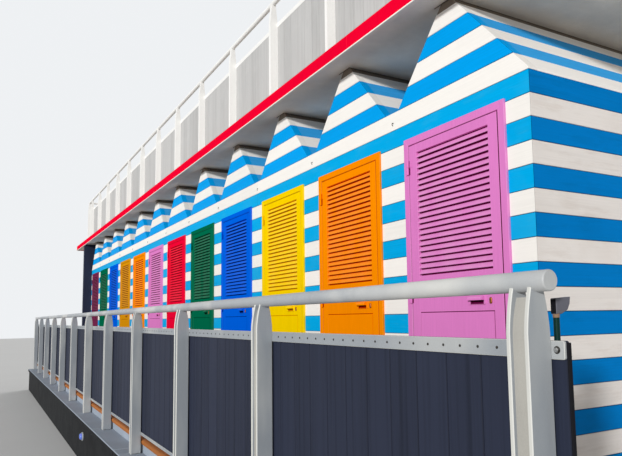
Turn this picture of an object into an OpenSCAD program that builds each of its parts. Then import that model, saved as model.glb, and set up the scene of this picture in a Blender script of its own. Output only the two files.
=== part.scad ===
// Row of striped timber bathing cabins with louvred doors, standing on a raised
// walkway under a roof terrace. Millimetres, +Z up. The origin is on the ground,
// halfway along the row, in the plane of the cabin fronts. -Y is the walkway side.

/* [Row] */
// Number of cabins in the row
cabin_n = 12; // [6:1:14]
// Distance from one cabin's centre line to the next
pitch = 1150; // [1000:5:1400]
// Extra length of the end cabins beyond half a pitch
end_trim = 27; // [10:1:60]
// Depth of the cabins, from the front plane to the back wall
cabin_depth = 2000; // [1500:10:2600]
// Height of one painted board
board_h = 120; // [90:1:150]
// Thickness of the timber walls
wall_t = 60; // [45:1:90]

/* [Levels] */
// Top of the walkway deck above the ground
deck_z = 600; // [400:10:900]
// Eaves of the cabins above the deck
eaves_h = 2220; // [2000:10:2500]
// Underside of the terrace slab above the eaves
soffit_h = 630; // [450:5:700]

/* [Roofs] */
// Half width of a cabin roof, measured at the eaves
roof_half = 612; // [520:1:760]
// Half width of the flat top of a cabin roof
roof_top_half = 47; // [40:1:120]
// Thickness of the boarded roof slopes
roof_t = 25; // [18:1:40]
// Width of the beam under each valley
valley_beam_w = 60; // [45:1:90]
// Depth of the beam under each valley
valley_beam_h = 110; // [80:1:160]

/* [Doors] */
// Outside width of a door casing
casing_w = 870; // [780:1:950]
// Top of the casing below the eaves
casing_drop = 103; // [60:1:160]
// Face width of the casing boards
casing_face = 45; // [38:1:75]
// How far the casing stands out from the wall
casing_proj = 14; // [12:1:40]
// Thickness of a door leaf
leaf_t = 40; // [32:1:50]
// Running gap around a door leaf
leaf_gap = 5; // [5:0.5:8]
// Gap under a door leaf
leaf_lift = 15; // [8:1:25]
// Width of the stiles of a leaf
stile_w = 74; // [55:1:90]
// Height of the top rail of a leaf
leaf_top_rail = 53; // [45:1:140]
// Number of louvre blades in a leaf
louvre_n = 22; // [16:1:24]
// Spacing of the louvre blades
louvre_pitch = 34.4; // [30:0.1:38]
// Height of the front edge of a louvre blade
louvre_t = 8; // [6:0.5:10]
// Drop of a louvre blade from its back edge to its front edge
louvre_drop = 19; // [12:1:19]
// Depth of a louvre blade, from front to back
louvre_d = 16; // [12:1:30]
// Gap under the lowest louvre blade
louvre_gap = 10; // [4:0.5:14]
// Thickness of the sheet behind the louvre blades
louvre_back_t = 4; // [3:0.5:8]
// Height of the rail that carries the pull and the lock
lock_rail = 217; // [160:1:240]
// Height of the bottom rail of a leaf
leaf_bottom_rail = 105; // [80:1:140]
// Width of the groove around the lower door panel
panel_groove = 5; // [3:0.5:8]
// Depth of the groove around the lower door panel
groove_d = 4; // [2:0.5:6]
// Radius of a hinge knuckle
hinge_r = 7; // [6:0.5:9]
// Radius of a hinge pin
pin_r = 4; // [3:0.25:5]
// Length of a whole hinge
hinge_len = 90; // [60:5:120]
// Width of a hinge plate
hinge_plate = 30; // [20:1:36]
// Middle of the top hinge below the top of a leaf
hinge_drop = 138; // [80:1:200]
// Distance from one hinge of a leaf to the next
hinge_step = 798; // [600:1:810]
// Middle of the pull below the top of the casing
pull_drop = 1028; // [1000:1:1060]
// Middle of the pull from the edge of a leaf
pull_in = 200; // [150:1:260]
// Width of the pull
pull_w = 134; // [100:1:150]
// Height of the pull
pull_h = 54; // [50:1:64]
// Thickness of the plate of the pull
pull_t = 5; // [3:0.5:8]
// Radius of the hood of the pull
hood_r = 23; // [18:1:24]
// Depth of the finger pocket behind the pull
pocket_d = 14; // [8:1:20]
// Middle of the lock from the edge of a leaf
lock_in = 97; // [85:1:110]
// Height of the lock cylinder
lock_h = 34; // [28:1:40]

/* [Walkway] */
// Width of the deck, from the cabin fronts to its front edge
deck_w = 1080; // [900:10:1400]
// Thickness of the deck boards
deck_t = 40; // [28:1:50]
// Deck run beyond the near end wall
deck_near = 1075; // [900:5:1300]
// Deck run beyond the far end wall
deck_far = 713; // [500:1:1000]
// Top of the kerb below the deck
kerb_drop = 113; // [80:1:160]
// Front edge of the kerb, measured from the cabin fronts
kerb_out = 1260; // [1200:5:1600]
// Thickness of the kerb coping
coping_t = 60; // [40:1:90]
// Overhang of the coping beyond the base wall
coping_lip = 20; // [10:1:40]
// Width of a deck joist
joist_w = 60; // [45:1:80]
// Number of deck joists
joist_n = 24; // [14:1:30]

/* [Walkway railing] */
// Number of railing bays of the usual length
bay_n = 10; // [6:1:14]
// Last post in from the far end of the deck
post_far = 114; // [60:1:300]
// Length of the first railing bay, at the near end
bay_first = 1683; // [1300:1:1900]
// First post beyond the near end wall
post_near = 970; // [800:5:1100]
// Depth of a post, across the railing
post_d = 80; // [60:1:110]
// Width of a post over its two plates
post_w = 72; // [60:1:90]
// Thickness of the post plates
plate_t = 13; // [8:0.5:16]
// Thickness of the web between the plates
web_t = 8; // [5:0.5:12]
// Depth of the recess in front of the web
web_recess = 11; // [6:1:18]
// Height at which a post starts to narrow, above the deck
shoulder_z = 962; // [900:1:1000]
// Width of a post at its top
post_top_d = 42; // [34:1:60]
// Centre of the handrail above the deck
handrail_z = 1089; // [1000:1:1150]
// Radius of the handrail
handrail_r = 26.5; // [20:0.5:30]
// Handrail run beyond the end posts
handrail_over = 78; // [60:1:160]
// Top of the panel rail above the deck
top_bar_z = 943; // [850:1:990]
// Height of the top bar
top_bar_h = 45; // [30:1:60]
// Thickness of the bars
bar_t = 8; // [5:0.5:12]
// Height of the bottom bar
bottom_bar_h = 24; // [16:1:40]
// Gap between the deck and the bottom bar
bottom_gap = 38; // [25:1:80]
// Place of the kerb lamp, as a share of a bay from the sixth post
lamp_share = 0.41; // [0.2:0.01:0.8]
// Depth of the kerb lamp below the coping
lamp_drop = 125; // [80:1:250]
// Height of the marker light above the deck, up to its head
marker_h = 1008; // [900:1:1150]
// Distance of the marker light behind the railing posts
marker_back = 60; // [40:1:120]
// Thickness of the panel boards
panel_t = 22; // [16:1:30]
// Panel run beyond the end posts
panel_over = 75; // [40:1:100]
// Thickness of the dark trims on the ends of the panels
end_strip_t = 4; // [3:0.5:16]

/* [Terrace] */
// Overhang of the slab edge beyond the cabin fronts
slab_over = 165; // [120:5:260]
// Overhang of the slab beyond the end walls
slab_end_over = 1301; // [900:1:1500]
// Thickness of the slab
slab_t = 80; // [60:1:200]
// Underside of the drip edge below the top of the slab
edge_drop = 100; // [80:1:240]
// Thickness of the red fascia board
fascia_t = 25; // [15:1:35]
// Height of the red fascia board
fascia_h = 112; // [90:1:200]
// Height of the white drip edge
drip_h = 9; // [6:1:16]
// How far the drip edge stands out from the fascia
drip_out = 6; // [3:1:12]
// Thickness of the masonry walls
masonry_t = 150; // [100:5:250]
// Projection of the far wing wall beyond the cabin fronts
wing_out = 180; // [100:5:220]

/* [Terrace railing] */
// Setback of the terrace posts from the slab edge
terrace_set = 65; // [40:1:120]
// Length of the last terrace bay, at the far end
terrace_last_bay = 436; // [300:2:1000]
// Number of usual terrace bays along a long side
terrace_bay_n = 13; // [6:1:14]
// First terrace post beyond the near end wall
terrace_near = 256; // [150:1:400]
// Far corner post beyond the far end wall
terrace_far = 158; // [100:1:300]
// Width of a terrace post along the railing
tpost_w = 40; // [30:1:60]
// Depth of a terrace post across the railing
tpost_d = 70; // [50:1:100]
// Width of a terrace post at its top
tpost_top_d = 36; // [28:1:50]
// Centre of the terrace handrail above the slab
terrace_handrail_z = 968; // [900:1:1100]
// Radius of the terrace handrail
terrace_handrail_r = 22; // [18:0.5:26]
// Top of the terrace panels above the slab
terrace_panel_z = 786; // [650:1:850]
// Gap between the slab and the terrace panels
terrace_panel_gap = 30; // [20:1:80]
// Height of the rail on top of the terrace panels
terrace_rail_h = 40; // [25:1:60]

/* [Hidden] */
$fn = 32;
fit = 0.05;
half_len = cabin_n * pitch / 2 + end_trim;
near_x = half_len;
far_x = -half_len;
eaves_z = deck_z + eaves_h;
soffit_z = eaves_z + soffit_h;
slab_top = soffit_z + slab_t;
edge_z = slab_top - edge_drop;
kerb_z = deck_z - kerb_drop;
base_z = kerb_z - coping_t;
casing_top = eaves_z - casing_drop;
front_y = -casing_proj;
leaf_w = casing_w - 2 * casing_face - 2 * leaf_gap;
leaf_z0 = deck_z + leaf_lift;
leaf_z1 = casing_top - casing_face - leaf_gap;
leaf_y0 = front_y + 3;
leaf_y1 = leaf_y0 + leaf_t;
hinge_y = front_y - hinge_r;
hinge_dx = -leaf_w / 2 - leaf_gap / 2;
louvre_z1 = leaf_z1 - leaf_top_rail;
louvre_z0 = louvre_z1 - louvre_n * louvre_pitch - louvre_gap;
lock_z0 = louvre_z0 - lock_rail;
pull_z = casing_top - pull_drop;
pull_x = leaf_w / 2 - pull_in;
roof_run = (roof_half - roof_top_half) / soffit_h;
roof_tv = roof_t * sqrt(1 + 1 / (roof_run * roof_run));
header_z1 = eaves_z + board_h;
back_y = cabin_depth + masonry_t;
post_y0 = -deck_w - 7 - post_d;
post_y1 = post_y0 + post_d;
post_yc = (post_y0 + post_y1) / 2;
post_x0 = near_x + post_near;
bay = (post_x0 - bay_first - post_far - far_x + deck_far) / bay_n;
deck_x1 = near_x + deck_near;
deck_x0 = far_x - deck_far;
slab_x = half_len + slab_end_over;
slab_y0 = -slab_over;
slab_y1 = back_y + slab_over;
tpost_y0 = slab_y0 + terrace_set;
tpost_yb = slab_y1 - terrace_set;
terrace_x1 = near_x + terrace_near;
terrace_x0 = far_x - terrace_far;
terrace_bay = (terrace_x1 - terrace_x0 - terrace_last_bay) / terrace_bay_n;
thr_z = slab_top + terrace_handrail_z;
tpanel_y0 = tpost_y0 + tpost_d;

// Centre line of cabin i, counted from the near end
function cabin_x(i) = near_x - end_trim - pitch * (i + 0.5);
// Half width of a cabin roof at a height above the eaves
function roof_b(z) = roof_half - roof_run * z;
// Height of the roof surface above the eaves, at a distance from the centre line
function roof_z(d) = (roof_half - d) / roof_run;
// Place of railing post i, counted from the near end
function post_x(i) = i == 0 ? post_x0 : post_x0 - bay_first - (i - 1) * bay;
// Place of terrace post i along a long side
function tpost_x(i) = i > terrace_bay_n ? terrace_x0 : terrace_x1 - i * terrace_bay;

// Box from corner to corner
module box(a, b) {
    translate(a)
        cube([b[0] - a[0], b[1] - a[1], b[2] - a[2]]);
}

// Solid with an outline in the XZ plane, running from y0 to y1
module along_y(y0, y1) {
    translate([0, y1, 0])
        rotate([90, 0, 0])
            linear_extrude(height = y1 - y0)
                children();
}

// Solid with an outline in the YZ plane, running from x0 to x1
module along_x(x0, x1) {
    translate([x0, 0, 0])
        rotate([90, 0, 90])
            linear_extrude(height = x1 - x0)
                children();
}

// Round bar along X
module tube_x(x0, x1, y, z, r) {
    translate([x0, y, z])
        rotate([0, 90, 0])
            cylinder(h = x1 - x0, r = r);
}

// Round bar along Y
module tube_y(x, y0, y1, z, r) {
    translate([x, y1, z])
        rotate([90, 0, 0])
            cylinder(h = y1 - y0, r = r);
}

// Concrete base under the cabins and under the walkway
module base() {
    color([0.55, 0.55, 0.54])
        union() {
            box([far_x - masonry_t, 0, 0], [near_x, back_y, base_z]);
            box([deck_x0 - 40, -kerb_out + coping_lip, 0], [deck_x1 + 40, 0, base_z]);
        }
}

// Light coping along the front of the base, where the railing stands
module kerb() {
    color([0.74, 0.74, 0.72])
        box([deck_x0 - 60, -kerb_out, base_z], [deck_x1 + 60, -deck_w + 20, kerb_z]);
}

// Concrete floor inside the cabins
module cabin_floor() {
    color([0.62, 0.61, 0.58])
        box([far_x, wall_t, base_z], [near_x - wall_t, cabin_depth, deck_z]);
}

// Space that the far wing wall takes out of the deck
module wing_room() {
    box([far_x - masonry_t, -wing_out, 0], [far_x, 1, deck_z + 1]);
}

// Joists between the base and the deck boards
module deck_joists() {
    step = (deck_x1 - deck_x0 - joist_w) / (joist_n - 1);
    color([0.45, 0.33, 0.22])
        difference() {
            for (i = [0 : joist_n - 1])
                translate([deck_x0 + i * step, 0, 0])
                    box([0, -deck_w + 30, base_z], [joist_w, 0, deck_z - deck_t]);
            wing_room();
        }
}

// Walkway deck in front of the doors
module deck_boards() {
    color([0.66, 0.42, 0.22])
        difference() {
            box([deck_x0, -deck_w, deck_z - deck_t], [deck_x1, 0, deck_z]);
            wing_room();
        }
}

// Front wall beside the doorways
module front_piers() {
    side = (pitch - casing_w) / 2;
    color([0.93, 0.93, 0.90])
        for (i = [0 : cabin_n]) {
            x0 = i == cabin_n ? far_x : near_x - end_trim - i * pitch - side;
            x1 = i == 0 ? near_x : near_x - end_trim - i * pitch + side;
            box([x0, 0, base_z], [x1, wall_t, casing_top]);
        }
}

// Front wall over the doorways, up to the first board above the eaves
module front_header() {
    e = cabin_x(0);
    c = eaves_z + roof_z(near_x - e);
    b = roof_b(board_h);
    color([0.93, 0.93, 0.90])
        along_y(0, wall_t)
            polygon([
                [far_x, casing_top], [near_x, casing_top], [near_x, c],
                [e + b, header_z1], [-e - b, header_z1], [far_x, c]
            ]);
}

// Boarded gables over the header, cut off flat by the slab
module gables() {
    b = roof_b(board_h);
    color([0.93, 0.93, 0.90])
        for (i = [0 : cabin_n - 1])
            translate([cabin_x(i), 0, 0])
                along_y(0, wall_t)
                    polygon([
                        [-b, header_z1], [b, header_z1],
                        [roof_top_half, soffit_z], [-roof_top_half, soffit_z]
                    ]);
}

// One roof slope, on the +X side of a cabin, running down to distance d
module slope(d) {
    along_y(wall_t, cabin_depth)
        polygon([
            [roof_top_half, soffit_z], [d, eaves_z + roof_z(d)],
            [d, eaves_z + roof_z(d) - roof_tv],
            [roof_top_half, soffit_z - roof_tv]
        ]);
}

// Boarded slopes on both sides of every cabin roof
module roof_slopes() {
    d = pitch / 2 - 1;
    color([0.86, 0.88, 0.90])
        for (i = [0 : cabin_n - 1])
            translate([cabin_x(i), 0, 0]) {
                slope(i == 0 ? pitch / 2 + end_trim : d);
                mirror([1, 0, 0])
                    slope(i == cabin_n - 1 ? pitch / 2 + end_trim : d);
            }
}

// Beams that carry the roof valleys from the front wall to the back wall
module valley_beams() {
    w = valley_beam_w / 2;
    v = eaves_z + roof_z(pitch / 2) - roof_tv - fit;
    s = eaves_z + roof_z(pitch / 2 - w) - roof_tv - fit;
    color([0.72, 0.58, 0.40])
        for (i = [1 : cabin_n - 1])
            translate([near_x - end_trim - i * pitch, 0, 0])
                along_y(wall_t, cabin_depth)
                    polygon([
                        [-w, v - valley_beam_h], [w, v - valley_beam_h],
                        [w, s], [0, v], [-w, s]
                    ]);
}

// Striped end wall at the near end
module near_end_wall() {
    d = near_x - cabin_x(0);
    u = eaves_z - roof_tv - fit;
    color([0.93, 0.93, 0.90])
        along_y(wall_t, cabin_depth)
            polygon([
                [near_x - wall_t, base_z], [near_x, base_z],
                [near_x, u + roof_z(d)], [near_x - wall_t, u + roof_z(d - wall_t)]
            ]);
}

// Dark masonry wall that closes the far end and carries the slab
module far_wing_wall() {
    cut_z = min(edge_z, soffit_z);
    cut_y = max(slab_y0, -wing_out);
    color([0.14, 0.15, 0.20])
        difference() {
            box([far_x - masonry_t, -wing_out, base_z], [far_x, back_y, soffit_z]);
            box([far_x - masonry_t - 1, -wing_out - 1, cut_z],
                [far_x + 1, cut_y, soffit_z + 1]);
        }
}

// Masonry wall behind the cabins
module back_wall() {
    color([0.80, 0.79, 0.76])
        box([far_x, cabin_depth, base_z], [near_x, back_y, soffit_z]);
}

// Casing of one doorway, centred on X zero
module casing() {
    w = casing_w / 2;
    f = casing_face;
    along_y(front_y, wall_t)
        polygon([
            [-w, deck_z], [-w + f, deck_z], [-w + f, casing_top - f],
            [w - f, casing_top - f], [w - f, deck_z], [w, deck_z],
            [w, casing_top], [-w, casing_top]
        ]);
}

// Casings of all the doorways
module door_casings() {
    color([0.86, 0.42, 0.70])
        for (i = [0 : cabin_n - 1])
            translate([cabin_x(i), 0, 0])
                casing();
}

// Puts its child at the three hinge heights of a doorway
module at_hinges() {
    for (k = [0 : 2])
        translate([hinge_dx, hinge_y, leaf_z1 - hinge_drop - k * hinge_step])
            children();
}

// Fixed half of a hinge, a knuckle with its pin and a plate on the casing
module fixed_hinge() {
    h = hinge_len / 2;
    union() {
        translate([0, 0, -h])
            cylinder(h = h, r = hinge_r);
        translate([0, 0, -1])
            cylinder(h = h - 1, r = pin_r);
        box([-hinge_plate, hinge_r - 3, -h], [0, hinge_r, 0]);
    }
}

// Moving half of a hinge, a bored knuckle with a plate on the leaf
module moving_hinge() {
    h = hinge_len / 2;
    difference() {
        union() {
            translate([0, 0, 0.5])
                cylinder(h = h - 0.5, r = hinge_r);
            box([0, hinge_r - 2, 0.5], [hinge_plate, hinge_r + 3, h]);
        }
        translate([0, 0, -1])
            cylinder(h = h + 2, r = pin_r + fit);
    }
}

// Fixed halves of the hinges, three on the left of every doorway
module door_hinges() {
    color([0.70, 0.70, 0.70])
        for (i = [0 : cabin_n - 1])
            translate([cabin_x(i), 0, 0])
                at_hinges()
                    fixed_hinge();
}

// Flat concrete slab of the terrace, over the whole row
module terrace_slab() {
    color([0.60, 0.59, 0.58])
        box([-slab_x, slab_y0, soffit_z], [slab_x, slab_y1, slab_top]);
}

// Band around the slab, from z0 to z1, between two distances from its edge
module band(a, b, z0, z1) {
    difference() {
        box([-slab_x - b, slab_y0 - b, z0], [slab_x + b, slab_y1 + b, z1]);
        box([-slab_x - a, slab_y0 - a, z0 - 1], [slab_x + a, slab_y1 + a, z1 + 1]);
    }
}

// Red fascia board around the slab
module fascia() {
    color([0.84, 0.05, 0.16])
        band(0, fascia_t, edge_z + drip_h, edge_z + fascia_h);
}

// White drip edge under the fascia
module drip_edge() {
    color([0.95, 0.94, 0.92])
        band(0, fascia_t + drip_out, edge_z, edge_z + drip_h);
}

// Outline of a terrace post from the side, front edge at zero
module tpost_outline() {
    n = (tpost_d - tpost_top_d) / 2;
    s = terrace_panel_z;
    polygon([
        [0, 0], [tpost_d, 0], [tpost_d, s], [tpost_d - n * 0.35, s + 60],
        [tpost_d - n, terrace_handrail_z], [n, terrace_handrail_z],
        [n * 0.35, s + 60], [0, s]
    ]);
}

// Posts along one long side of the terrace
module tpost_row() {
    for (i = [0 : terrace_bay_n + 1])
        difference() {
            translate([0, tpost_y0, slab_top])
                along_x(tpost_x(i) - tpost_w / 2, tpost_x(i) + tpost_w / 2)
                    tpost_outline();
            tube_x(tpost_x(i) - tpost_w, tpost_x(i) + tpost_w, tpost_y0 + tpost_d / 2,
                thr_z, terrace_handrail_r + fit);
            if (i == 0 || i > terrace_bay_n)
                tube_y(tpost_x(i), tpost_y0, tpost_y0 + 2 * tpost_d, thr_z,
                    terrace_handrail_r + fit);
        }
}

// Posts of the terrace railing, with one more in the middle of each end
module terrace_posts() {
    mid = (slab_y0 + slab_y1) / 2;
    color([0.90, 0.90, 0.89]) {
        tpost_row();
        translate([0, 2 * mid, 0])
            mirror([0, 1, 0])
                tpost_row();
        for (x = [terrace_x0, terrace_x1])
            difference() {
                box([x - tpost_w / 2, mid - tpost_w / 2, slab_top],
                    [x + tpost_w / 2, mid + tpost_w / 2, thr_z]);
                tube_y(x, mid - tpost_w, mid + tpost_w, thr_z, terrace_handrail_r + fit);
            }
    }
}

// Strip behind the terrace posts, on all four sides, from z0 to z1
module terrace_strip(t, z0, z1, set) {
    x0 = terrace_x0 + tpost_w / 2;
    x1 = terrace_x1 - tpost_w / 2;
    y0 = tpanel_y0 + set;
    y1 = slab_y0 + slab_y1 - y0;
    box([x0 - tpost_w, y0, z0], [x1 + tpost_w, y0 + t, z1]);
    box([x0 - tpost_w, y1 - t, z0], [x1 + tpost_w, y1, z1]);
    for (x = [x0, x1 - t])
        box([x, y0 + t + 2, z0], [x + t, y1 - t - 2, z1]);
}

// Boarded panels of the terrace railing
module terrace_panels() {
    color([0.70, 0.71, 0.70])
        terrace_strip(panel_t, slab_top + terrace_panel_gap,
            slab_top + terrace_panel_z - terrace_rail_h, 0);
}

// White rail on top of the terrace panels
module terrace_rails() {
    color([0.93, 0.93, 0.92])
        terrace_strip(panel_t + 6, slab_top + terrace_panel_z - terrace_rail_h,
            slab_top + terrace_panel_z, 0);
}

// Long handrails of the terrace
module terrace_handrails() {
    mid = (slab_y0 + slab_y1) / 2;
    y = tpost_y0 + tpost_d / 2;
    color([0.92, 0.92, 0.91])
        for (yy = [y, 2 * mid - y])
            tube_x(terrace_x0 - 60, terrace_x1 + 60, yy, thr_z, terrace_handrail_r);
}

// Handrails across the ends of the terrace, cut to the long ones
module terrace_end_handrails() {
    mid = (slab_y0 + slab_y1) / 2;
    y = tpost_y0 + tpost_d / 2;
    color([0.92, 0.92, 0.91])
        for (x = [terrace_x0, terrace_x1])
            difference() {
                tube_y(x, y, 2 * mid - y, thr_z, terrace_handrail_r);
                for (yy = [y, 2 * mid - y])
                    tube_x(x - 50, x + 50, yy, thr_z, terrace_handrail_r + fit);
            }
}

// Outline of a railing post plate, seen from the side
module post_outline(inset, top) {
    n = (post_d - post_top_d) / 2;
    s = deck_z + shoulder_z;
    t = top - s;
    y0 = post_y0 + inset;
    y1 = post_y1 - inset;
    polygon([
        [y0, kerb_z], [y1, kerb_z], [y1, s], [y1 - n * 0.12, s + t * 0.3],
        [y1 - n * 0.42, s + t * 0.62], [y1 - n * 0.8, s + t * 0.88],
        [y1 - n, top], [y0 + n, top], [y0 + n * 0.8, s + t * 0.88],
        [y0 + n * 0.42, s + t * 0.62], [y0 + n * 0.12, s + t * 0.3], [y0, s]
    ]);
}

// One railing post, two plates joined by two webs, open between them
module rail_post() {
    w = post_w / 2;
    top = deck_z + handrail_z - 10;
    web_top = deck_z + handrail_z - handrail_r - 12;
    ins = web_recess;
    difference() {
        union() {
            along_x(-w, -w + plate_t)
                post_outline(0, top);
            along_x(w - plate_t, w)
                post_outline(0, top);
            along_x(-w + plate_t - 1, w - plate_t + 1)
                post_outline(ins, web_top);
        }
        box([-w + plate_t, post_y0 + ins + web_t, kerb_z - 1],
            [w - plate_t, post_y1 - ins - web_t, deck_z + shoulder_z - 20]);
        tube_x(-w - 5, w + 5, post_yc, deck_z + handrail_z, handrail_r + fit);
    }
}

// Twin plate posts of the walkway railing
module rail_posts() {
    color([0.80, 0.81, 0.80])
        for (i = [0 : bay_n + 1])
            translate([post_x(i), 0, 0])
                rail_post();
}

// Run of the railing panels and bars, from z0 to z1 and y0 to y1
module rail_run(y0, y1, z0, z1) {
    box([post_x(bay_n + 1) - panel_over, y0, z0], [post_x0 + panel_over, y1, z1]);
}

// Slate grey boards of the walkway railing
module rail_panels() {
    color([0.20, 0.22, 0.26])
        rail_run(post_y1 + bar_t, post_y1 + bar_t + panel_t,
            deck_z + bottom_gap, deck_z + top_bar_z);
}

// Flat metal bars along the top and the bottom of the panels
module rail_bars() {
    color([0.78, 0.79, 0.79]) {
        rail_run(post_y1, post_y1 + bar_t, deck_z + top_bar_z - top_bar_h,
            deck_z + top_bar_z);
        rail_run(post_y1, post_y1 + bar_t, deck_z + bottom_gap,
            deck_z + bottom_gap + bottom_bar_h);
    }
}

// Thick handrail on the posts
module handrail() {
    color([0.84, 0.85, 0.84])
        tube_x(post_x(bay_n + 1) - handrail_over, post_x0 + handrail_over, post_yc,
            deck_z + handrail_z, handrail_r);
}

// Dark trims on the ends of the panels
module rail_end_trims() {
    t = end_strip_t;
    y = post_y1 + bar_t;
    color([0.06, 0.06, 0.07])
        for (x = [post_x(bay_n + 1) - panel_over - t, post_x0 + panel_over])
            box([x, y, deck_z + bottom_gap - 20],
                [x + t, y + panel_t + 2, deck_z + top_bar_z - 4]);
}

// Small round lamp on the side of the base
module kerb_lamp() {
    color([0.75, 0.82, 0.92])
        translate([post_x(5) + lamp_share * bay, -kerb_out + coping_lip, base_z - lamp_drop])
            rotate([90, 0, 0]) {
                cylinder(h = 12, r = 48);
                translate([0, 0, 12])
                    cylinder(h = 26, r1 = 36, r2 = 24);
            }
}

// Slim dark rod with a wedge shaped head, behind the near end of the railing
module marker_light() {
    x = post_x0 + 4;
    y = post_y1 + marker_back;
    z = deck_z + marker_h;
    color([0.08, 0.16, 0.12])
        translate([x, y, 0])
            union() {
                translate([0, 0, deck_z])
                    cylinder(h = z - deck_z, r = 8);
                translate([0, 16, 0])
                    along_x(-9.5, 9.5)
                        polygon([[-26, z], [-26, z + 40], [30, z + 44], [23, z + 13], [-5, z]]);
            }
}

// Blade of the louvres, as an outline in the YZ plane
module blade() {
    y = leaf_y0 + 2;
    polygon([
        [y, 0], [y, louvre_t], [y + louvre_d, louvre_drop + louvre_t],
        [y + louvre_d, louvre_drop]
    ]);
}

// Groove around the lower panel, cut from y0 to y1
module groove(y0, y1) {
    w = leaf_w / 2 - stile_w;
    g = panel_groove;
    z0 = leaf_z0 + leaf_bottom_rail;
    difference() {
        box([-w, y0, z0], [w, y1, lock_z0]);
        box([-w + g, y0 - 1, z0 + g], [w - g, y1 + 1, lock_z0 - g]);
    }
}

// Window of the pull, an opening under its hood, cut from y0 to y1
module pull_window(y0, y1) {
    w = pull_w / 2 - 14;
    box([pull_x - w, y0, pull_z - pull_h / 2 + 3], [pull_x + w, y1, pull_z - 3]);
}

// Louvred leaf of one door, centred on X zero
module leaf() {
    w = leaf_w / 2;
    s = stile_w;
    union() {
        difference() {
            box([-w, leaf_y0, leaf_z0], [w, leaf_y1, leaf_z1]);
            box([-w + s, leaf_y0 - 1, louvre_z0], [w - s, leaf_y1 + 1, louvre_z1]);
            groove(leaf_y0 - 1, leaf_y0 + groove_d);
            groove(leaf_y1 - groove_d, leaf_y1 + 1);
            pull_window(leaf_y0 - 1, leaf_y0 + pocket_d);
        }
        for (k = [0 : louvre_n - 1])
            translate([0, 0, louvre_z0 + louvre_gap + k * louvre_pitch])
                along_x(-w + s - 4, w - s + 4)
                    blade();
        box([-w + s - 4, leaf_y0 + louvre_d + 1.5, louvre_z0 - 4],
            [w - s + 4, leaf_y0 + louvre_d + 2 + louvre_back_t, louvre_z1 + 4]);
        at_hinges()
            moving_hinge();
    }
}

// Leaf of door i, counted from one at the near end
module door_leaf(i) {
    if (i <= cabin_n)
        translate([cabin_x(i - 1), 0, 0])
            leaf();
}

// Plate with rounded corners, w by h, standing out from the leaf by t
module leaf_plate(w, h, r, t) {
    translate([0, leaf_y0, 0])
        rotate([90, 0, 0])
            linear_extrude(height = t)
                union() {
                    square([w - 2 * r, h], center = true);
                    square([w, h - 2 * r], center = true);
                    for (x = [r - w / 2, w / 2 - r])
                        for (z = [r - h / 2, h / 2 - r])
                            translate([x, z])
                                circle(r = r);
                }
}

// Quarter round bar along X, on the front of the plate of the pull
module quarter(w, r) {
    intersection() {
        tube_x(-w / 2, w / 2, leaf_y0 - pull_t, 0, r);
        box([-w, leaf_y0 - pull_t - r - 1, 0], [w, leaf_y0 - pull_t, r + 1]);
    }
}

// Hooded pull and lock cylinder of door i
module door_handle(i) {
    if (i <= cabin_n)
        translate([cabin_x(i - 1), 0, 0]) {
            difference() {
                union() {
                    translate([pull_x, 0, pull_z])
                        leaf_plate(pull_w, pull_h, 10, pull_t);
                    translate([pull_x, 0, pull_z - 3])
                        quarter(pull_w - 20, hood_r);
                }
                pull_window(leaf_y0 - pull_t - hood_r, leaf_y0 + 1);
                translate([pull_x, 0, pull_z - 3])
                    quarter(pull_w - 28, hood_r - 4);
            }
            translate([leaf_w / 2 - lock_in, 0, pull_z - 7])
                leaf_plate(lock_h / 2, lock_h, lock_h / 4 - 0.5, 6);
        }
}

module door_01_leaf() { color([0.86, 0.40, 0.70]) door_leaf(1); }
module door_02_leaf() { color([1.00, 0.45, 0.03]) door_leaf(2); }
module door_03_leaf() { color([1.00, 0.78, 0.05]) door_leaf(3); }
module door_04_leaf() { color([0.05, 0.20, 0.62]) door_leaf(4); }
module door_05_leaf() { color([0.02, 0.42, 0.20]) door_leaf(5); }
module door_06_leaf() { color([0.92, 0.04, 0.10]) door_leaf(6); }
module door_07_leaf() { color([0.86, 0.40, 0.70]) door_leaf(7); }
module door_08_leaf() { color([1.00, 0.45, 0.03]) door_leaf(8); }
module door_09_leaf() { color([0.95, 0.62, 0.04]) door_leaf(9); }
module door_10_leaf() { color([0.05, 0.20, 0.62]) door_leaf(10); }
module door_11_leaf() { color([0.02, 0.42, 0.20]) door_leaf(11); }
module door_12_leaf() { color([0.60, 0.10, 0.20]) door_leaf(12); }
module door_01_handle() { color([0.75, 0.75, 0.76]) door_handle(1); }
module door_02_handle() { color([0.75, 0.75, 0.76]) door_handle(2); }
module door_03_handle() { color([0.75, 0.75, 0.76]) door_handle(3); }
module door_04_handle() { color([0.75, 0.75, 0.76]) door_handle(4); }
module door_05_handle() { color([0.75, 0.75, 0.76]) door_handle(5); }
module door_06_handle() { color([0.75, 0.75, 0.76]) door_handle(6); }
module door_07_handle() { color([0.75, 0.75, 0.76]) door_handle(7); }
module door_08_handle() { color([0.75, 0.75, 0.76]) door_handle(8); }
module door_09_handle() { color([0.75, 0.75, 0.76]) door_handle(9); }
module door_10_handle() { color([0.75, 0.75, 0.76]) door_handle(10); }
module door_11_handle() { color([0.75, 0.75, 0.76]) door_handle(11); }
module door_12_handle() { color([0.75, 0.75, 0.76]) door_handle(12); }

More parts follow.
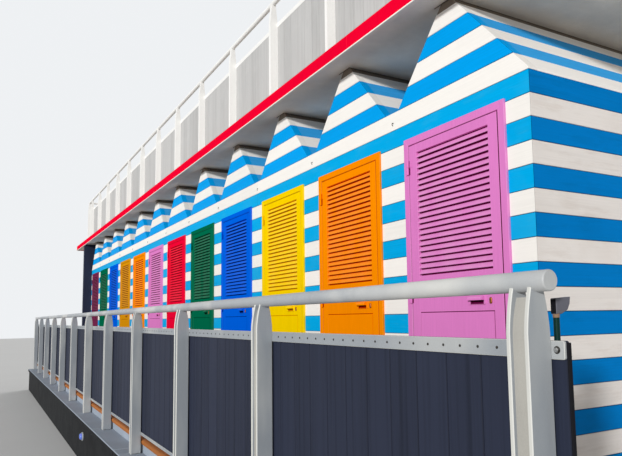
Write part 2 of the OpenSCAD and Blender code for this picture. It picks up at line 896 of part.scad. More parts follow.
base();
kerb();
cabin_floor();
deck_joists();
deck_boards();
front_piers();
front_header();
gables();
roof_slopes();
valley_beams();
near_end_wall();
far_wing_wall();
back_wall();
door_casings();
door_hinges();
terrace_slab();
fascia();
drip_edge();
terrace_posts();
terrace_panels();
terrace_rails();
terrace_handrails();
terrace_end_handrails();
rail_posts();
rail_panels();
rail_bars();
handrail();
rail_end_trims();
kerb_lamp();
marker_light();
door_01_leaf();
door_01_handle();
door_02_leaf();
door_02_handle();
door_03_leaf();
door_03_handle();
door_04_leaf();
door_04_handle();
door_05_leaf();
door_05_handle();
door_06_leaf();
door_06_handle();
door_07_leaf();
door_07_handle();
door_08_leaf();
door_08_handle();
door_09_leaf();
door_09_handle();
door_10_leaf();
door_10_handle();
door_11_leaf();
door_11_handle();
door_12_leaf();
door_12_handle();
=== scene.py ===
"""Looks of a row of striped beach cabins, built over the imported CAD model.

Metres, +Z up. The origin is on the ground, halfway along the row, in the plane of the
cabin fronts. The walkway lies on the -Y side, and +X points to the near end.
"""

import logging
import math
import random
from dataclasses import dataclass
from enum import Enum
from functools import cache
from typing import Any, Callable

import bmesh
import bpy
from mathutils import Matrix, Vector


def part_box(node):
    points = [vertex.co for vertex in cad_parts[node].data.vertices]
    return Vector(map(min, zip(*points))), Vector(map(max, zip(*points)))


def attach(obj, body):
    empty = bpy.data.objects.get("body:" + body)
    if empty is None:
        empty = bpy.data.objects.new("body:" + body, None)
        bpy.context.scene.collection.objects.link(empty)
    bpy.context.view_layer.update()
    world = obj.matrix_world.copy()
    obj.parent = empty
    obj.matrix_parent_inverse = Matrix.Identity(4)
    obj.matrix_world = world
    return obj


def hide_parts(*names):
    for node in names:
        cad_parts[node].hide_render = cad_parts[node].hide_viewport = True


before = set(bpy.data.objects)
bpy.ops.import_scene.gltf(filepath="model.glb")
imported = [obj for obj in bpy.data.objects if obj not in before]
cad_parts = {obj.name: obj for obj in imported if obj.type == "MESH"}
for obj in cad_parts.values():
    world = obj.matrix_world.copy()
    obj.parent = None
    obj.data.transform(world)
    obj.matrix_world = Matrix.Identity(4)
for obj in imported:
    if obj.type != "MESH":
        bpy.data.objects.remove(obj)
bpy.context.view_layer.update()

Flat = tuple[float, float]
Point = tuple[float, float, float]
Colour = tuple[float, float, float]
LOG = logging.getLogger("cabin_row")
MITRE_LIMIT = 0.3


class Axis(Enum):
    """Direction that a board, a bar or a grain runs in."""

    X = 0
    Y = 1
    Z = 2

    def place(self, along: float, flat: Flat) -> Point:
        """Returns the point at a place along this axis and a place across it."""
        return (*flat[:self.value], along, *flat[self.value:])

    def stretch(self, along: float, across: float) -> Point:
        """Returns a scale that differs along this axis and across it."""
        return self.place(along, (across, across))


# Finishes


class Bench:
    """Short ways to add and join the nodes of a tree."""

    def __init__(self, tree: bpy.types.NodeTree) -> None:
        """Works on a tree."""
        self.tree = tree

    def join(self, value: Any, socket: bpy.types.NodeSocket) -> None:
        """Links a socket, or writes a number or a colour, into an input.

        Args:
            value: Output socket, number, or colour of three numbers.
            socket: Input that takes it.
        """
        if isinstance(value, bpy.types.NodeSocket):
            self.tree.links.new(value, socket)
        else:
            socket.default_value = (*value, 1.0) if socket.type == "RGBA" else value

    def node(self, kind: str, inputs: dict[int | str, Any], **settings: str) -> bpy.types.Node:
        """Adds a node.

        Args:
            kind: Blender's name for the node, without its first word.
            inputs: Sockets or values for its inputs, by place or by name.
            **settings: Options of the node.

        Returns:
            The node.
        """
        made = self.tree.nodes.new("ShaderNode" + kind)
        for key, value in settings.items():
            setattr(made, key, value)
        for key, value in inputs.items():
            self.join(value, made.inputs[key])
        return made

    def maths(self, kind: str, a: Any, b: Any) -> Any:
        """Returns the result of a calculation with two values."""
        return self.node("Math", {0: a, 1: b}, operation=kind).outputs[0]

    def mix(self, a: Any, b: Any, share: Any) -> Any:
        """Returns a colour that goes from a to b as the share goes from 0 to 1."""
        return self.node("Mix", {0: share, 6: a, 7: b}, data_type="RGBA").outputs[2]


class Coating(Bench):
    """Node tree of one material, with the colour that its layers make so far."""

    def __init__(self, name: str, colour: Colour, **sockets: float) -> None:
        """Makes the material.

        Args:
            name: Name of the material.
            colour: Colour under all the layers.
            **sockets: Constant values for the shader's own sockets, with _ for a space.
        """
        self.material = bpy.data.materials.new(name)
        self.material.use_nodes = True
        super().__init__(self.material.node_tree)
        self.colour: Any = colour
        self.shader = self.tree.nodes["Principled BSDF"]
        for key, value in sockets.items():
            self.shader.inputs[key.replace("_", " ")].default_value = value
        self.spot = self.node("TexCoord", {}).outputs["Object"]

    def spread(self, scale: float | Point) -> Any:
        """Returns the piece's own coordinates, times one scale or one for each direction."""
        scales = scale if isinstance(scale, tuple) else (scale, scale, scale)
        return self.node("Mapping", {"Vector": self.spot, "Scale": scales}).outputs["Vector"]

    def noise(self, scale: float | Point, detail: float = 4.0, rough: float = 0.6) -> Any:
        """Returns a cloud pattern, by its waves per metre, octaves and strength of fine octaves."""
        inputs = {"Vector": self.spread(scale), "Scale": 1.0, "Detail": detail, "Roughness": rough}
        return self.node("TexNoise", inputs).outputs["Fac"]

    def cells(self, scale: float | Point) -> Any:
        """Returns the distance to scattered points, for knots and pits."""
        return self.node("TexVoronoi", {"Vector": self.spread(scale), "Scale": 1.0}).outputs["Distance"]

    def mark(self, name: str) -> Any:
        """Returns the value that a piece's faces carry under a name."""
        return self.node("Attribute", {}, attribute_name=name).outputs["Fac"]

    def remap(self, value: Any, start: float, end: float, high: float = 1.0, low: float = 0.0) -> Any:
        """Returns low where a value is at start or before, high at end or beyond, and between them a ramp."""
        return self.node("MapRange", {0: value, 1: start, 2: end, 3: low, 4: high}).outputs[0]

    def lay(self, colour: Any, share: Any) -> None:
        """Mixes a colour into the layers."""
        self.colour = self.mix(self.colour, colour, share)

    def finish(self, rough: Any, height: Any, depth: float, strength: float) -> bpy.types.Material:
        """Joins the layers and the relief to the shader.

        Args:
            rough: Socket or number with the roughness.
            height: Socket with the relief, from 0 to 1.
            depth: Depth of the relief in metres.
            strength: Share of the relief that shows.

        Returns:
            The finished material.
        """
        bump = self.node("Bump", {"Strength": strength, "Distance": depth, "Height": height})
        ends = {"Base Color": self.colour, "Roughness": rough, "Normal": bump.outputs["Normal"]}
        for name, value in ends.items():
            self.join(value, self.shader.inputs[name])
        return self.material


@dataclass(frozen=True)
class Finish:
    """A finish that pieces wear. Each kind makes its material once."""

    name: str
    colour: Colour

    def tint(self, amount: float) -> Colour:
        """Returns the colour made lighter or darker by a factor."""
        return tuple(min(1.0, part * amount) for part in self.colour)

    def material(self) -> bpy.types.Material:
        """Returns the material; each kind of finish has its own way."""
        raise NotImplementedError


@dataclass(frozen=True)
class BoardPaint(Finish):
    """Brushed paint on planed boards, with grain, knots and dirt, and a line colour on the joint chamfers:
    dirt, and on blue boards painted shade.
    """

    grain: Axis = Axis.X
    gloss: float = 0.5
    dirt: Colour = (0.40, 0.39, 0.37)
    line: Colour = (0.62, 0.61, 0.58)
    weather: float = 0.2
    streak: float = 0.10

    @cache
    def material(self) -> bpy.types.Material:
        """Makes paint that lets the grain show and dulls in patches.

        Returns:
            The material.
        """
        b = Coating(self.name, self.tint(1.0 - self.streak), IOR=1.45, Specular_IOR_Level=0.02)
        brush = b.noise(self.grain.stretch(2.5, 130.0), 5.0)
        ring = b.noise(self.grain.stretch(1.1, 34.0), 3.0, 0.5)
        patch = b.noise(1.7)
        smear = b.noise(self.grain.stretch(3.5, 22.0), 6.0, 0.7)
        knot = b.remap(b.cells(self.grain.stretch(1.6, 4.1)), 0.03, 0.06, 0.0, 1.0)
        b.lay(self.tint(1.0 + self.streak * 0.6), b.remap(brush, 0.3, 0.7))
        b.lay(self.tint(1.0 - self.streak * 1.4), b.remap(ring, 0.52, 0.78, 0.55))
        b.lay(self.tint(1.10), b.remap(b.mark("tone"), -1.0, 1.0, 0.55))
        b.lay(self.dirt, b.remap(patch, 0.50, 0.95, self.weather))
        b.lay(self.dirt, b.remap(smear, 0.52, 0.85, self.weather))
        b.lay(self.dirt, b.maths("MULTIPLY", knot, b.remap(patch, 0.45, 0.7, self.weather * 1.5)))
        # The chamfers take the line colour: dirt along the joints, and on the blue boards a dark painted
        # shade of the V-grooves.
        b.lay(self.line, b.maths("MULTIPLY", b.mark("edge"), b.remap(brush, 0.3, 0.8, 1.0, 0.5)))
        rough = b.remap(brush, 0.2, 0.8, self.gloss + 0.14, self.gloss - 0.08)
        return b.finish(rough, b.mix(brush, ring, 0.4), 0.0009, 0.35)


@dataclass(frozen=True)
class Enamel(Finish):
    """Matt enamel on the doors and casings, brushed on, paler on the edges: partly wear, partly painted
    highlight.
    """

    gloss: float = 0.42
    wear: float = 0.03
    scuff: Colour = (0.95, 0.90, 0.88)

    @cache
    def material(self) -> bpy.types.Material:
        """Makes an enamel with faint brush marks and sags.

        Returns:
            The material.
        """
        b = Coating(self.name, self.tint(0.91), IOR=1.5, Specular_IOR_Level=0.0)
        brush = b.noise(Axis.Z.stretch(5.0, 190.0))
        sag = b.noise(Axis.Z.stretch(2.0, 9.0), 3.0, 0.5)
        b.lay(self.tint(1.05), b.remap(brush, 0.3, 0.7))
        b.lay(self.tint(0.84), b.remap(sag, 0.50, 0.85, 0.45))
        b.lay(self.tint(1.08), b.remap(b.mark("tone"), -1.0, 1.0, 0.4))
        # Paler narrow edges: wear, and a painted highlight where edges catch the light.
        worn = b.mix(self.colour, self.scuff, self.wear)
        b.lay(worn, b.maths("MULTIPLY", b.mark("edge"), b.remap(sag, 0.35, 0.6, 0.95, 0.3)))
        rough = b.remap(brush, 0.25, 0.8, self.gloss + 0.14, self.gloss - 0.06)
        return b.finish(rough, brush, 0.0006, 0.3)


@dataclass(frozen=True)
class CoatedMetal(Finish):
    """Powder coated steel, with water marks and dust, painted sun flecks, and a rim colour on the edges that
    is a painted highlight where lighter than the coat.
    """

    gloss: float = 0.42
    grime: Colour = (0.36, 0.35, 0.32)
    share: float = 0.3
    # Edge colour: a painted highlight where lighter than the coat, edge dirt where darker.
    rim: Colour = (0.86, 0.85, 0.80)
    sheen: float = 0.4
    # Share of painted sun flecks in the rim colour.
    dapple: float = 0.0

    @cache
    def material(self) -> bpy.types.Material:
        """Makes a coat with fine orange peel and faint streaks.

        Returns:
            The material.
        """
        b = Coating(self.name, self.tint(0.94), IOR=1.5, Specular_IOR_Level=self.sheen)
        peel = b.noise(420.0, 2.0, 0.5)
        streak = b.noise((16.0, 16.0, 1.6), 5.0)
        cloud = b.noise(2.1)
        b.lay(self.tint(1.04), b.remap(peel, 0.35, 0.65))
        b.lay(self.grime, b.remap(streak, 0.52, 0.86, self.share))
        b.lay(self.tint(0.85), b.remap(cloud, 0.5, 0.85, 0.5))
        # Patches in the rim colour: painted sun flecks.
        b.lay(self.rim, b.remap(b.noise((1.9, 5.0, 1.3), 3.0, 0.5), 0.50, 0.68, self.dapple))
        # Narrow edges in the rim colour: painted highlight.
        b.lay(self.rim, b.maths("MULTIPLY", b.mark("edge"), b.remap(cloud, 0.3, 0.6, 0.7, 0.95)))
        rough = b.remap(cloud, 0.3, 0.8, self.gloss + 0.16, self.gloss - 0.05)
        return b.finish(rough, peel, 0.0002, 0.25)


@dataclass(frozen=True)
class StainedWood(Finish):
    """Stained or oiled timber, with rings, fibres and a tone for each board."""

    late: Colour
    grain: Axis = Axis.Z
    spread: float = 0.5
    gloss: float = 0.62

    @cache
    def material(self) -> bpy.types.Material:
        """Makes timber with long fibres and darker late wood.

        Returns:
            The material.
        """
        b = Coating(self.name, self.tint(0.84), IOR=1.42, Specular_IOR_Level=0.12)
        fibre = b.noise(self.grain.stretch(4.0, 260.0), 5.0, 0.65)
        ring = b.noise(self.grain.stretch(0.9, 46.0), 3.0, 0.5)
        fade = b.noise(2.6, 3.0)
        b.lay(self.tint(1.12), b.remap(fibre, 0.28, 0.72))
        b.lay(self.late, b.remap(ring, 0.48, 0.7, self.spread))
        b.lay(self.tint(1.25), b.remap(fade, 0.52, 0.85, 0.4))
        b.lay(self.tint(1.3), b.remap(b.mark("tone"), -1.0, 1.0, 0.45))
        b.lay(self.late, b.maths("MULTIPLY", b.mark("edge"), 0.55))
        rough = b.remap(fibre, 0.2, 0.8, self.gloss + 0.14, self.gloss - 0.07)
        return b.finish(rough, b.mix(fibre, ring, 0.3), 0.0008, 0.4)


@dataclass(frozen=True)
class Render(Finish):
    """Trowelled and painted masonry or cast concrete, mottled and stained."""

    stain: Colour
    share: float = 0.4
    coarse: float = 0.002

    @cache
    def material(self) -> bpy.types.Material:
        """Makes a mottled surface with trowel marks and pits.

        Returns:
            The material.
        """
        b = Coating(self.name, self.tint(0.88), IOR=1.4, Specular_IOR_Level=0.2)
        sand = b.noise(150.0)
        trowel = b.noise((5.0, 3.0, 5.0), 6.0, 0.62)
        damp = b.noise((0.7, 0.9, 0.8), 5.0)
        b.lay(self.tint(1.08), b.remap(trowel, 0.3, 0.7))
        b.lay(self.stain, b.remap(damp, 0.46, 0.78, self.share))
        b.lay(self.tint(0.6), b.remap(b.cells(38.0), 0.03, 0.16, 0.0, 0.4))
        b.lay(self.tint(0.9), b.remap(sand, 0.4, 0.7, 0.5))
        return b.finish(b.remap(trowel, 0.3, 0.7, 0.92, 0.72), b.mix(sand, trowel, 0.5), self.coarse, 0.45)


@dataclass(frozen=True)
class BareMetal(Finish):
    """Bare steel or brass of screws, hooks and locks."""

    gloss: float = 0.32
    rust: Colour = (0.16, 0.10, 0.06)

    @cache
    def material(self) -> bpy.types.Material:
        """Makes a brushed metal with tarnish.

        Returns:
            The material.
        """
        b = Coating(self.name, self.tint(0.85), Metallic=0.9)
        brush = b.noise((60.0, 60.0, 420.0), 3.0)
        spots = b.noise(35.0)
        b.lay(self.tint(1.1), b.remap(brush, 0.3, 0.7))
        b.lay(self.rust, b.remap(spots, 0.55, 0.8, 0.5))
        return b.finish(b.remap(brush, 0.3, 0.7, self.gloss + 0.16, self.gloss - 0.06), brush, 0.0001, 0.2)


@dataclass(frozen=True)
class Moulded(Finish):
    """Moulded plastic or frosted glass, with a fine grain."""

    gloss: float = 0.5
    through: float = 0.0
    sheen: float = 0.5
    dust: float = 0.25
    dirt: Colour = (0.42, 0.40, 0.37)

    @cache
    def material(self) -> bpy.types.Material:
        """Makes a fine grained moulding with dust in patches.

        Returns:
            The material.
        """
        sockets = {"Subsurface_Weight": self.through, "Subsurface_Scale": 0.01}
        b = Coating(self.name, self.tint(0.9), IOR=1.49, Specular_IOR_Level=self.sheen, **sockets)
        grain = b.noise(520.0, 2.0, 0.5)
        dust = b.noise(9.0)
        b.lay(self.tint(1.1), b.remap(grain, 0.3, 0.7))
        b.lay(self.dirt, b.remap(dust, 0.5, 0.9, self.dust))
        return b.finish(b.remap(dust, 0.3, 0.8, self.gloss + 0.2, self.gloss - 0.05), grain, 0.0002, 0.3)


# Dark line colour for the chamfers of the blue boards: painted shade of the V-grooves.
BLUE_JOINT_SHADE = (0.0, 0.075, 0.16)


class Coats(Enum):
    """Every finish of the row, by name."""

    WHITE_X = BoardPaint(
        "white_paint_x", (0.90, 0.87, 0.82), dirt=(0.55, 0.53, 0.50), weather=0.16, streak=0.05)
    BLUE_X = BoardPaint("sky_paint_x", (0.0, 0.350, 0.84), dirt=(0.0, 0.24, 0.50), line=BLUE_JOINT_SHADE)
    BLUE_HEAD = BoardPaint(
        "sky_paint_head", (0.0, 0.39, 0.78), dirt=(0.06, 0.46, 0.70), line=BLUE_JOINT_SHADE, weather=0.5)
    # Lighter copy of the white for the roof slopes: painted light.
    WHITE_Y = BoardPaint("white_paint_y", (0.99, 0.935, 0.88), Axis.Y, weather=0.10, streak=0.05)
    # Darker, stained copy of the white for the near end wall: weathering, and painted shade.
    WHITE_END = BoardPaint(
        "white_paint_end", (0.795, 0.75, 0.71), Axis.Y, dirt=(0.54, 0.45, 0.38), weather=0.45, streak=0.06)
    # Paler copy of the blue for the roof slopes: painted light and sheen.
    BLUE_Y = BoardPaint("sky_paint_y", (0.045, 0.39, 0.84), Axis.Y, dirt=(0.0, 0.13, 0.30), line=BLUE_JOINT_SHADE)
    # Darker copy of the blue for the near end wall, with a dark joint line: painted shade, and weathering.
    BLUE_END = BoardPaint(
        "sky_paint_end", (0.0, 0.192, 0.555), Axis.Y,
        dirt=(0.0, 0.10, 0.26), line=(0.0, 0.03, 0.09), weather=0.4)
    # Dark sheet at the bottom of the grooves between courses: painted shade.
    JOINT = BoardPaint("joint_shade", (0.004, 0.045, 0.12), gloss=0.8)
    PRIMER = BoardPaint("primer_x", (0.55, 0.52, 0.46))
    # Grey-brown packing at the top of each roof: painted shade of the top white course under the soffit.
    PACKER = BoardPaint("packer_grey", (0.20, 0.165, 0.13), Axis.Y, gloss=0.7)
    # Dark bead along the soffit at each roof top: painted contact shadow.
    MASTIC = Moulded("dark_mastic", (0.10, 0.08, 0.065), gloss=0.7)
    SOFFIT = Render("soffit_render", (0.83, 0.76, 0.67), (0.42, 0.36, 0.31), 0.6)
    # Near-black navy for the far wing wall: painted shade.
    NAVY = Render("navy_render", (0.022, 0.028, 0.055), (0.04, 0.045, 0.07), coarse=0.001)
    PALE = Render("pale_render", (0.66, 0.64, 0.60), (0.45, 0.43, 0.39), 0.5)
    # Near-black base: dark concrete, darkened further as painted shade.
    BASE = Render("base_concrete", (0.012, 0.013, 0.014), (0.007, 0.006, 0.006), 0.6)
    # Blue-grey coping: concrete with a painted blue cast of sky-lit shade.
    KERB = Render("kerb_concrete", (0.37, 0.42, 0.49), (0.27, 0.31, 0.35), 0.45, 0.001)
    FLOOR = Render("floor_concrete", (0.42, 0.41, 0.38), (0.28, 0.27, 0.25), coarse=0.0008)
    CRIMSON = CoatedMetal(
        "crimson_paint", (0.88, 0.001, 0.030),
        grime=(0.45, 0.0, 0.02), rim=(0.95, 0.02, 0.06), share=0.2, sheen=0.0)
    CREAM = CoatedMetal("cream_trim", (0.98, 0.93, 0.84), grime=(0.80, 0.72, 0.60), share=0.15)
    WHITE_METAL = CoatedMetal("white_coat", (0.92, 0.91, 0.88), grime=(0.6, 0.58, 0.54), share=0.12)
    # Post and bar coat, darker and bluer than the pale coat: painted shade, with painted highlights on edges
    # and painted sun flecks.
    GREY_METAL = CoatedMetal(
        "grey_coat", (0.31, 0.335, 0.36), grime=(0.21, 0.22, 0.23), rim=(0.74, 0.73, 0.67), dapple=0.3)
    # Handrail coat, darker than the pale coat: painted shade, with painted sun flecks.
    RAIL_METAL = CoatedMetal(
        "rail_coat", (0.37, 0.39, 0.41), grime=(0.22, 0.24, 0.27), rim=(0.84, 0.82, 0.75), dapple=0.5)
    # Web coat, darker and browner than the pale coat: painted shade between the plates, with painted sun
    # flecks.
    WEB_METAL = CoatedMetal(
        "web_coat", (0.42, 0.405, 0.365), grime=(0.27, 0.26, 0.24), rim=(0.68, 0.66, 0.60), dapple=0.3)
    PALE_BOARD = StainedWood("pale_grey_stain", (0.50, 0.495, 0.485), (0.37, 0.365, 0.355), spread=0.55)
    # Near-black blue slate stain, darkened as painted shade.
    SLATE = StainedWood("slate_stain", (0.023, 0.028, 0.049), (0.009, 0.011, 0.019), spread=0.6, gloss=0.55)
    DECK = StainedWood("oiled_deck", (0.38, 0.135, 0.036), (0.15, 0.05, 0.014), Axis.X)
    SAWN_Y = StainedWood("sawn_softwood", (0.50, 0.34, 0.18), (0.28, 0.17, 0.08), Axis.Y)
    BLACK = Moulded("black_plastic", (0.010, 0.010, 0.013), sheen=0.05, dust=0.04)
    STEEL = BareMetal("zinc_steel", (0.46, 0.46, 0.45))
    DARK_STEEL = BareMetal("dark_steel", (0.07, 0.065, 0.06), 0.4)
    BRONZE = BareMetal("bronze", (0.36, 0.12, 0.03), 0.35)
    TAN = Moulded("tan_collar", (0.27, 0.17, 0.11), sheen=0.1)
    ROD_GREEN = CoatedMetal("dark_green_coat", (0.001, 0.026, 0.022), grime=(0.02, 0.03, 0.03), sheen=0.1)
    CAP_GREY = Moulded("grey_cap", (0.125, 0.125, 0.15), sheen=0.2, dust=0.1)
    LAMP = Moulded("frosted_lamp", (0.13, 0.20, 0.68), 0.25, through=0.3, dust=0.1)
    PINK = Enamel("pink_enamel", (0.73, 0.215, 0.56), wear=0.10)
    ORANGE = Enamel("orange_enamel", (0.98, 0.265, 0.0))
    YELLOW = Enamel("yellow_enamel", (0.96, 0.64, 0.0))
    BLUE = Enamel("blue_enamel", (0.0, 0.118, 0.74), wear=0.02)
    GREEN = Enamel("green_enamel", (0.0, 0.140, 0.066), wear=0.04)
    RED = Enamel("red_enamel", (0.86, 0.002, 0.035))
    # Amber is held darker than its paint, partly painted shade.
    AMBER = Enamel("amber_enamel", (0.68, 0.28, 0.004))
    PLUM = Enamel("plum_enamel", (0.18, 0.022, 0.075))
    # Dark copies of the door paints, used as painted shade: behind the blades, on reveals, and in the gaps,
    # grooves and pull pocket.
    PINK_DEEP = Enamel("pink_recess", (0.14, 0.003, 0.055), 0.7)
    ORANGE_DEEP = Enamel("orange_recess", (0.46, 0.024, 0.0), 0.7)
    YELLOW_DEEP = Enamel("yellow_recess", (0.62, 0.23, 0.0), 0.7)
    BLUE_DEEP = Enamel("blue_recess", (0.0, 0.010, 0.15), 0.7)
    GREEN_DEEP = Enamel("green_recess", (0.0, 0.024, 0.008), 0.7)
    RED_DEEP = Enamel("red_recess", (0.30, 0.0, 0.008), 0.7)
    AMBER_DEEP = Enamel("amber_recess", (0.26, 0.05, 0.0), 0.7)
    PLUM_DEEP = Enamel("plum_recess", (0.025, 0.002, 0.010), 0.7)


# Mesh work


def inset(outline: list[Flat], amount: float) -> list[Flat]:
    """Moves every side of an outline inwards by the same distance.

    Args:
        outline: Corners in order, either way round.
        amount: Distance in metres.

    Returns:
        The corners of the smaller outline.
    """
    after = outline[1:] + outline[:1]
    turn = math.copysign(1.0, sum(p[0] * q[1] - q[0] * p[1] for p, q in zip(outline, after)))
    moved = []
    for before, here, ahead in zip(outline[-1:] + outline[:-1], outline, after):
        u = (Vector(here) - Vector(before)).normalized()
        v = (Vector(ahead) - Vector(here)).normalized()
        inward = Vector((-u.y - v.y, u.x + v.x)) * turn
        share = amount / max(MITRE_LIMIT, 1.0 + u.dot(v))
        moved.append((here[0] + inward.x * share, here[1] + inward.y * share))
    return moved


def rectangle(low: Flat, high: Flat) -> list[Flat]:
    """Returns the outline of a rectangle."""
    return [low, (high[0], low[1]), high, (low[0], high[1])]


def cut_corners(low: Flat, high: Flat, cut: float) -> list[Flat]:
    """Draws a rectangle whose corners are cut off.

    Args:
        low: Lower left corner.
        high: Upper right corner.
        cut: Length that each side loses at a corner.

    Returns:
        The eight corners of the outline.
    """
    (a, b), (c, d) = low, high
    return [
        (a + cut, b), (c - cut, b), (c, b + cut), (c, d - cut),
        (c - cut, d), (a + cut, d), (a, d - cut), (a, b + cut),
    ]


def arc(centre: Flat, radius: float, start: float, end: float, steps: int) -> list[Flat]:
    """Returns the points of an arc between two angles in half turns, both ends with it."""
    angles = (math.pi * (start + (end - start) * n / steps) for n in range(steps + 1))
    return [(centre[0] + radius * math.cos(a), centre[1] + radius * math.sin(a)) for a in angles]


def rounded(low: Flat, high: Flat, r: float) -> list[Flat]:
    """Returns a rectangle with rounded corners of six points, starting at the lower left."""
    corners = zip(rectangle((low[0] + r, low[1] + r), (high[0] - r, high[1] - r)), (1.0, 1.5, 0.0, 0.5))
    return [spot for centre, start in corners for spot in arc(centre, r, start, start + 0.5, 5)]


def split(low: float, high: float, size: float, gap: float) -> list[Flat]:
    """Returns the ends of the boards that fill a run at about a given pitch, less a gap at each end."""
    step = (high - low) / round((high - low) / size)
    return [(low + k * step + gap, low + (k + 1) * step - gap) for k in range(round((high - low) / step))]


def around(low: Vector, high: Vector, start: float, end: float) -> list[tuple[Axis, Flat, Flat]]:
    """Splits a band that runs round a box, as seen from above, into four straight stretches.

    Args:
        low: Lowest corner of the box.
        high: Highest corner of the box.
        start: Distance of the band's outer face from the sides of the box.
        end: Distance of its inner face.

    Returns:
        Direction, extent in X and extent in Y of each stretch.
    """
    across, deep = (low.x + start, high.x - start), (low.y + end, high.y - end)
    return [
        (Axis.X, across, (low.y + start, low.y + end)), (Axis.X, across, (high.y - end, high.y - start)),
        (Axis.Y, (low.x + start, low.x + end), deep), (Axis.Y, (high.x - end, high.x - start), deep),
    ]


@dataclass(frozen=True)
class Eases:
    """Widths of eased edges, in metres, from the finest fittings to cast stone."""

    hair: float = 0.0002
    fine: float = 0.0004
    slim: float = 0.0006
    small: float = 0.0008
    middle: float = 0.0012
    full: float = 0.0016
    wide: float = 0.0022
    stone: float = 0.006


EASE = Eases()


class Head(Enum):
    """Shape of a screw head or the like, as height above its face and radius, outside first."""

    HINGE_SCREW = ((0.0038, 0.0020), (0.0030, 0.0036), (0.0020, 0.0036))
    BAR_SCREW = ((0.0022, 0.0022), (0.0016, 0.0042), (-0.0010, 0.0042))
    WASHER = ((0.0016, 0.0095), (-0.0010, 0.0095))
    BOLT = ((0.0065, 0.0058), (0.0055, 0.0068), (0.0010, 0.0068))
    HOOK_ROSE = ((0.0030, 0.0030), (0.0020, 0.0050), (0.0, 0.0050))
    LOCK_PLUG = ((0.0072, 0.00527), (0.0066, 0.00612), (0.0050, 0.00612))


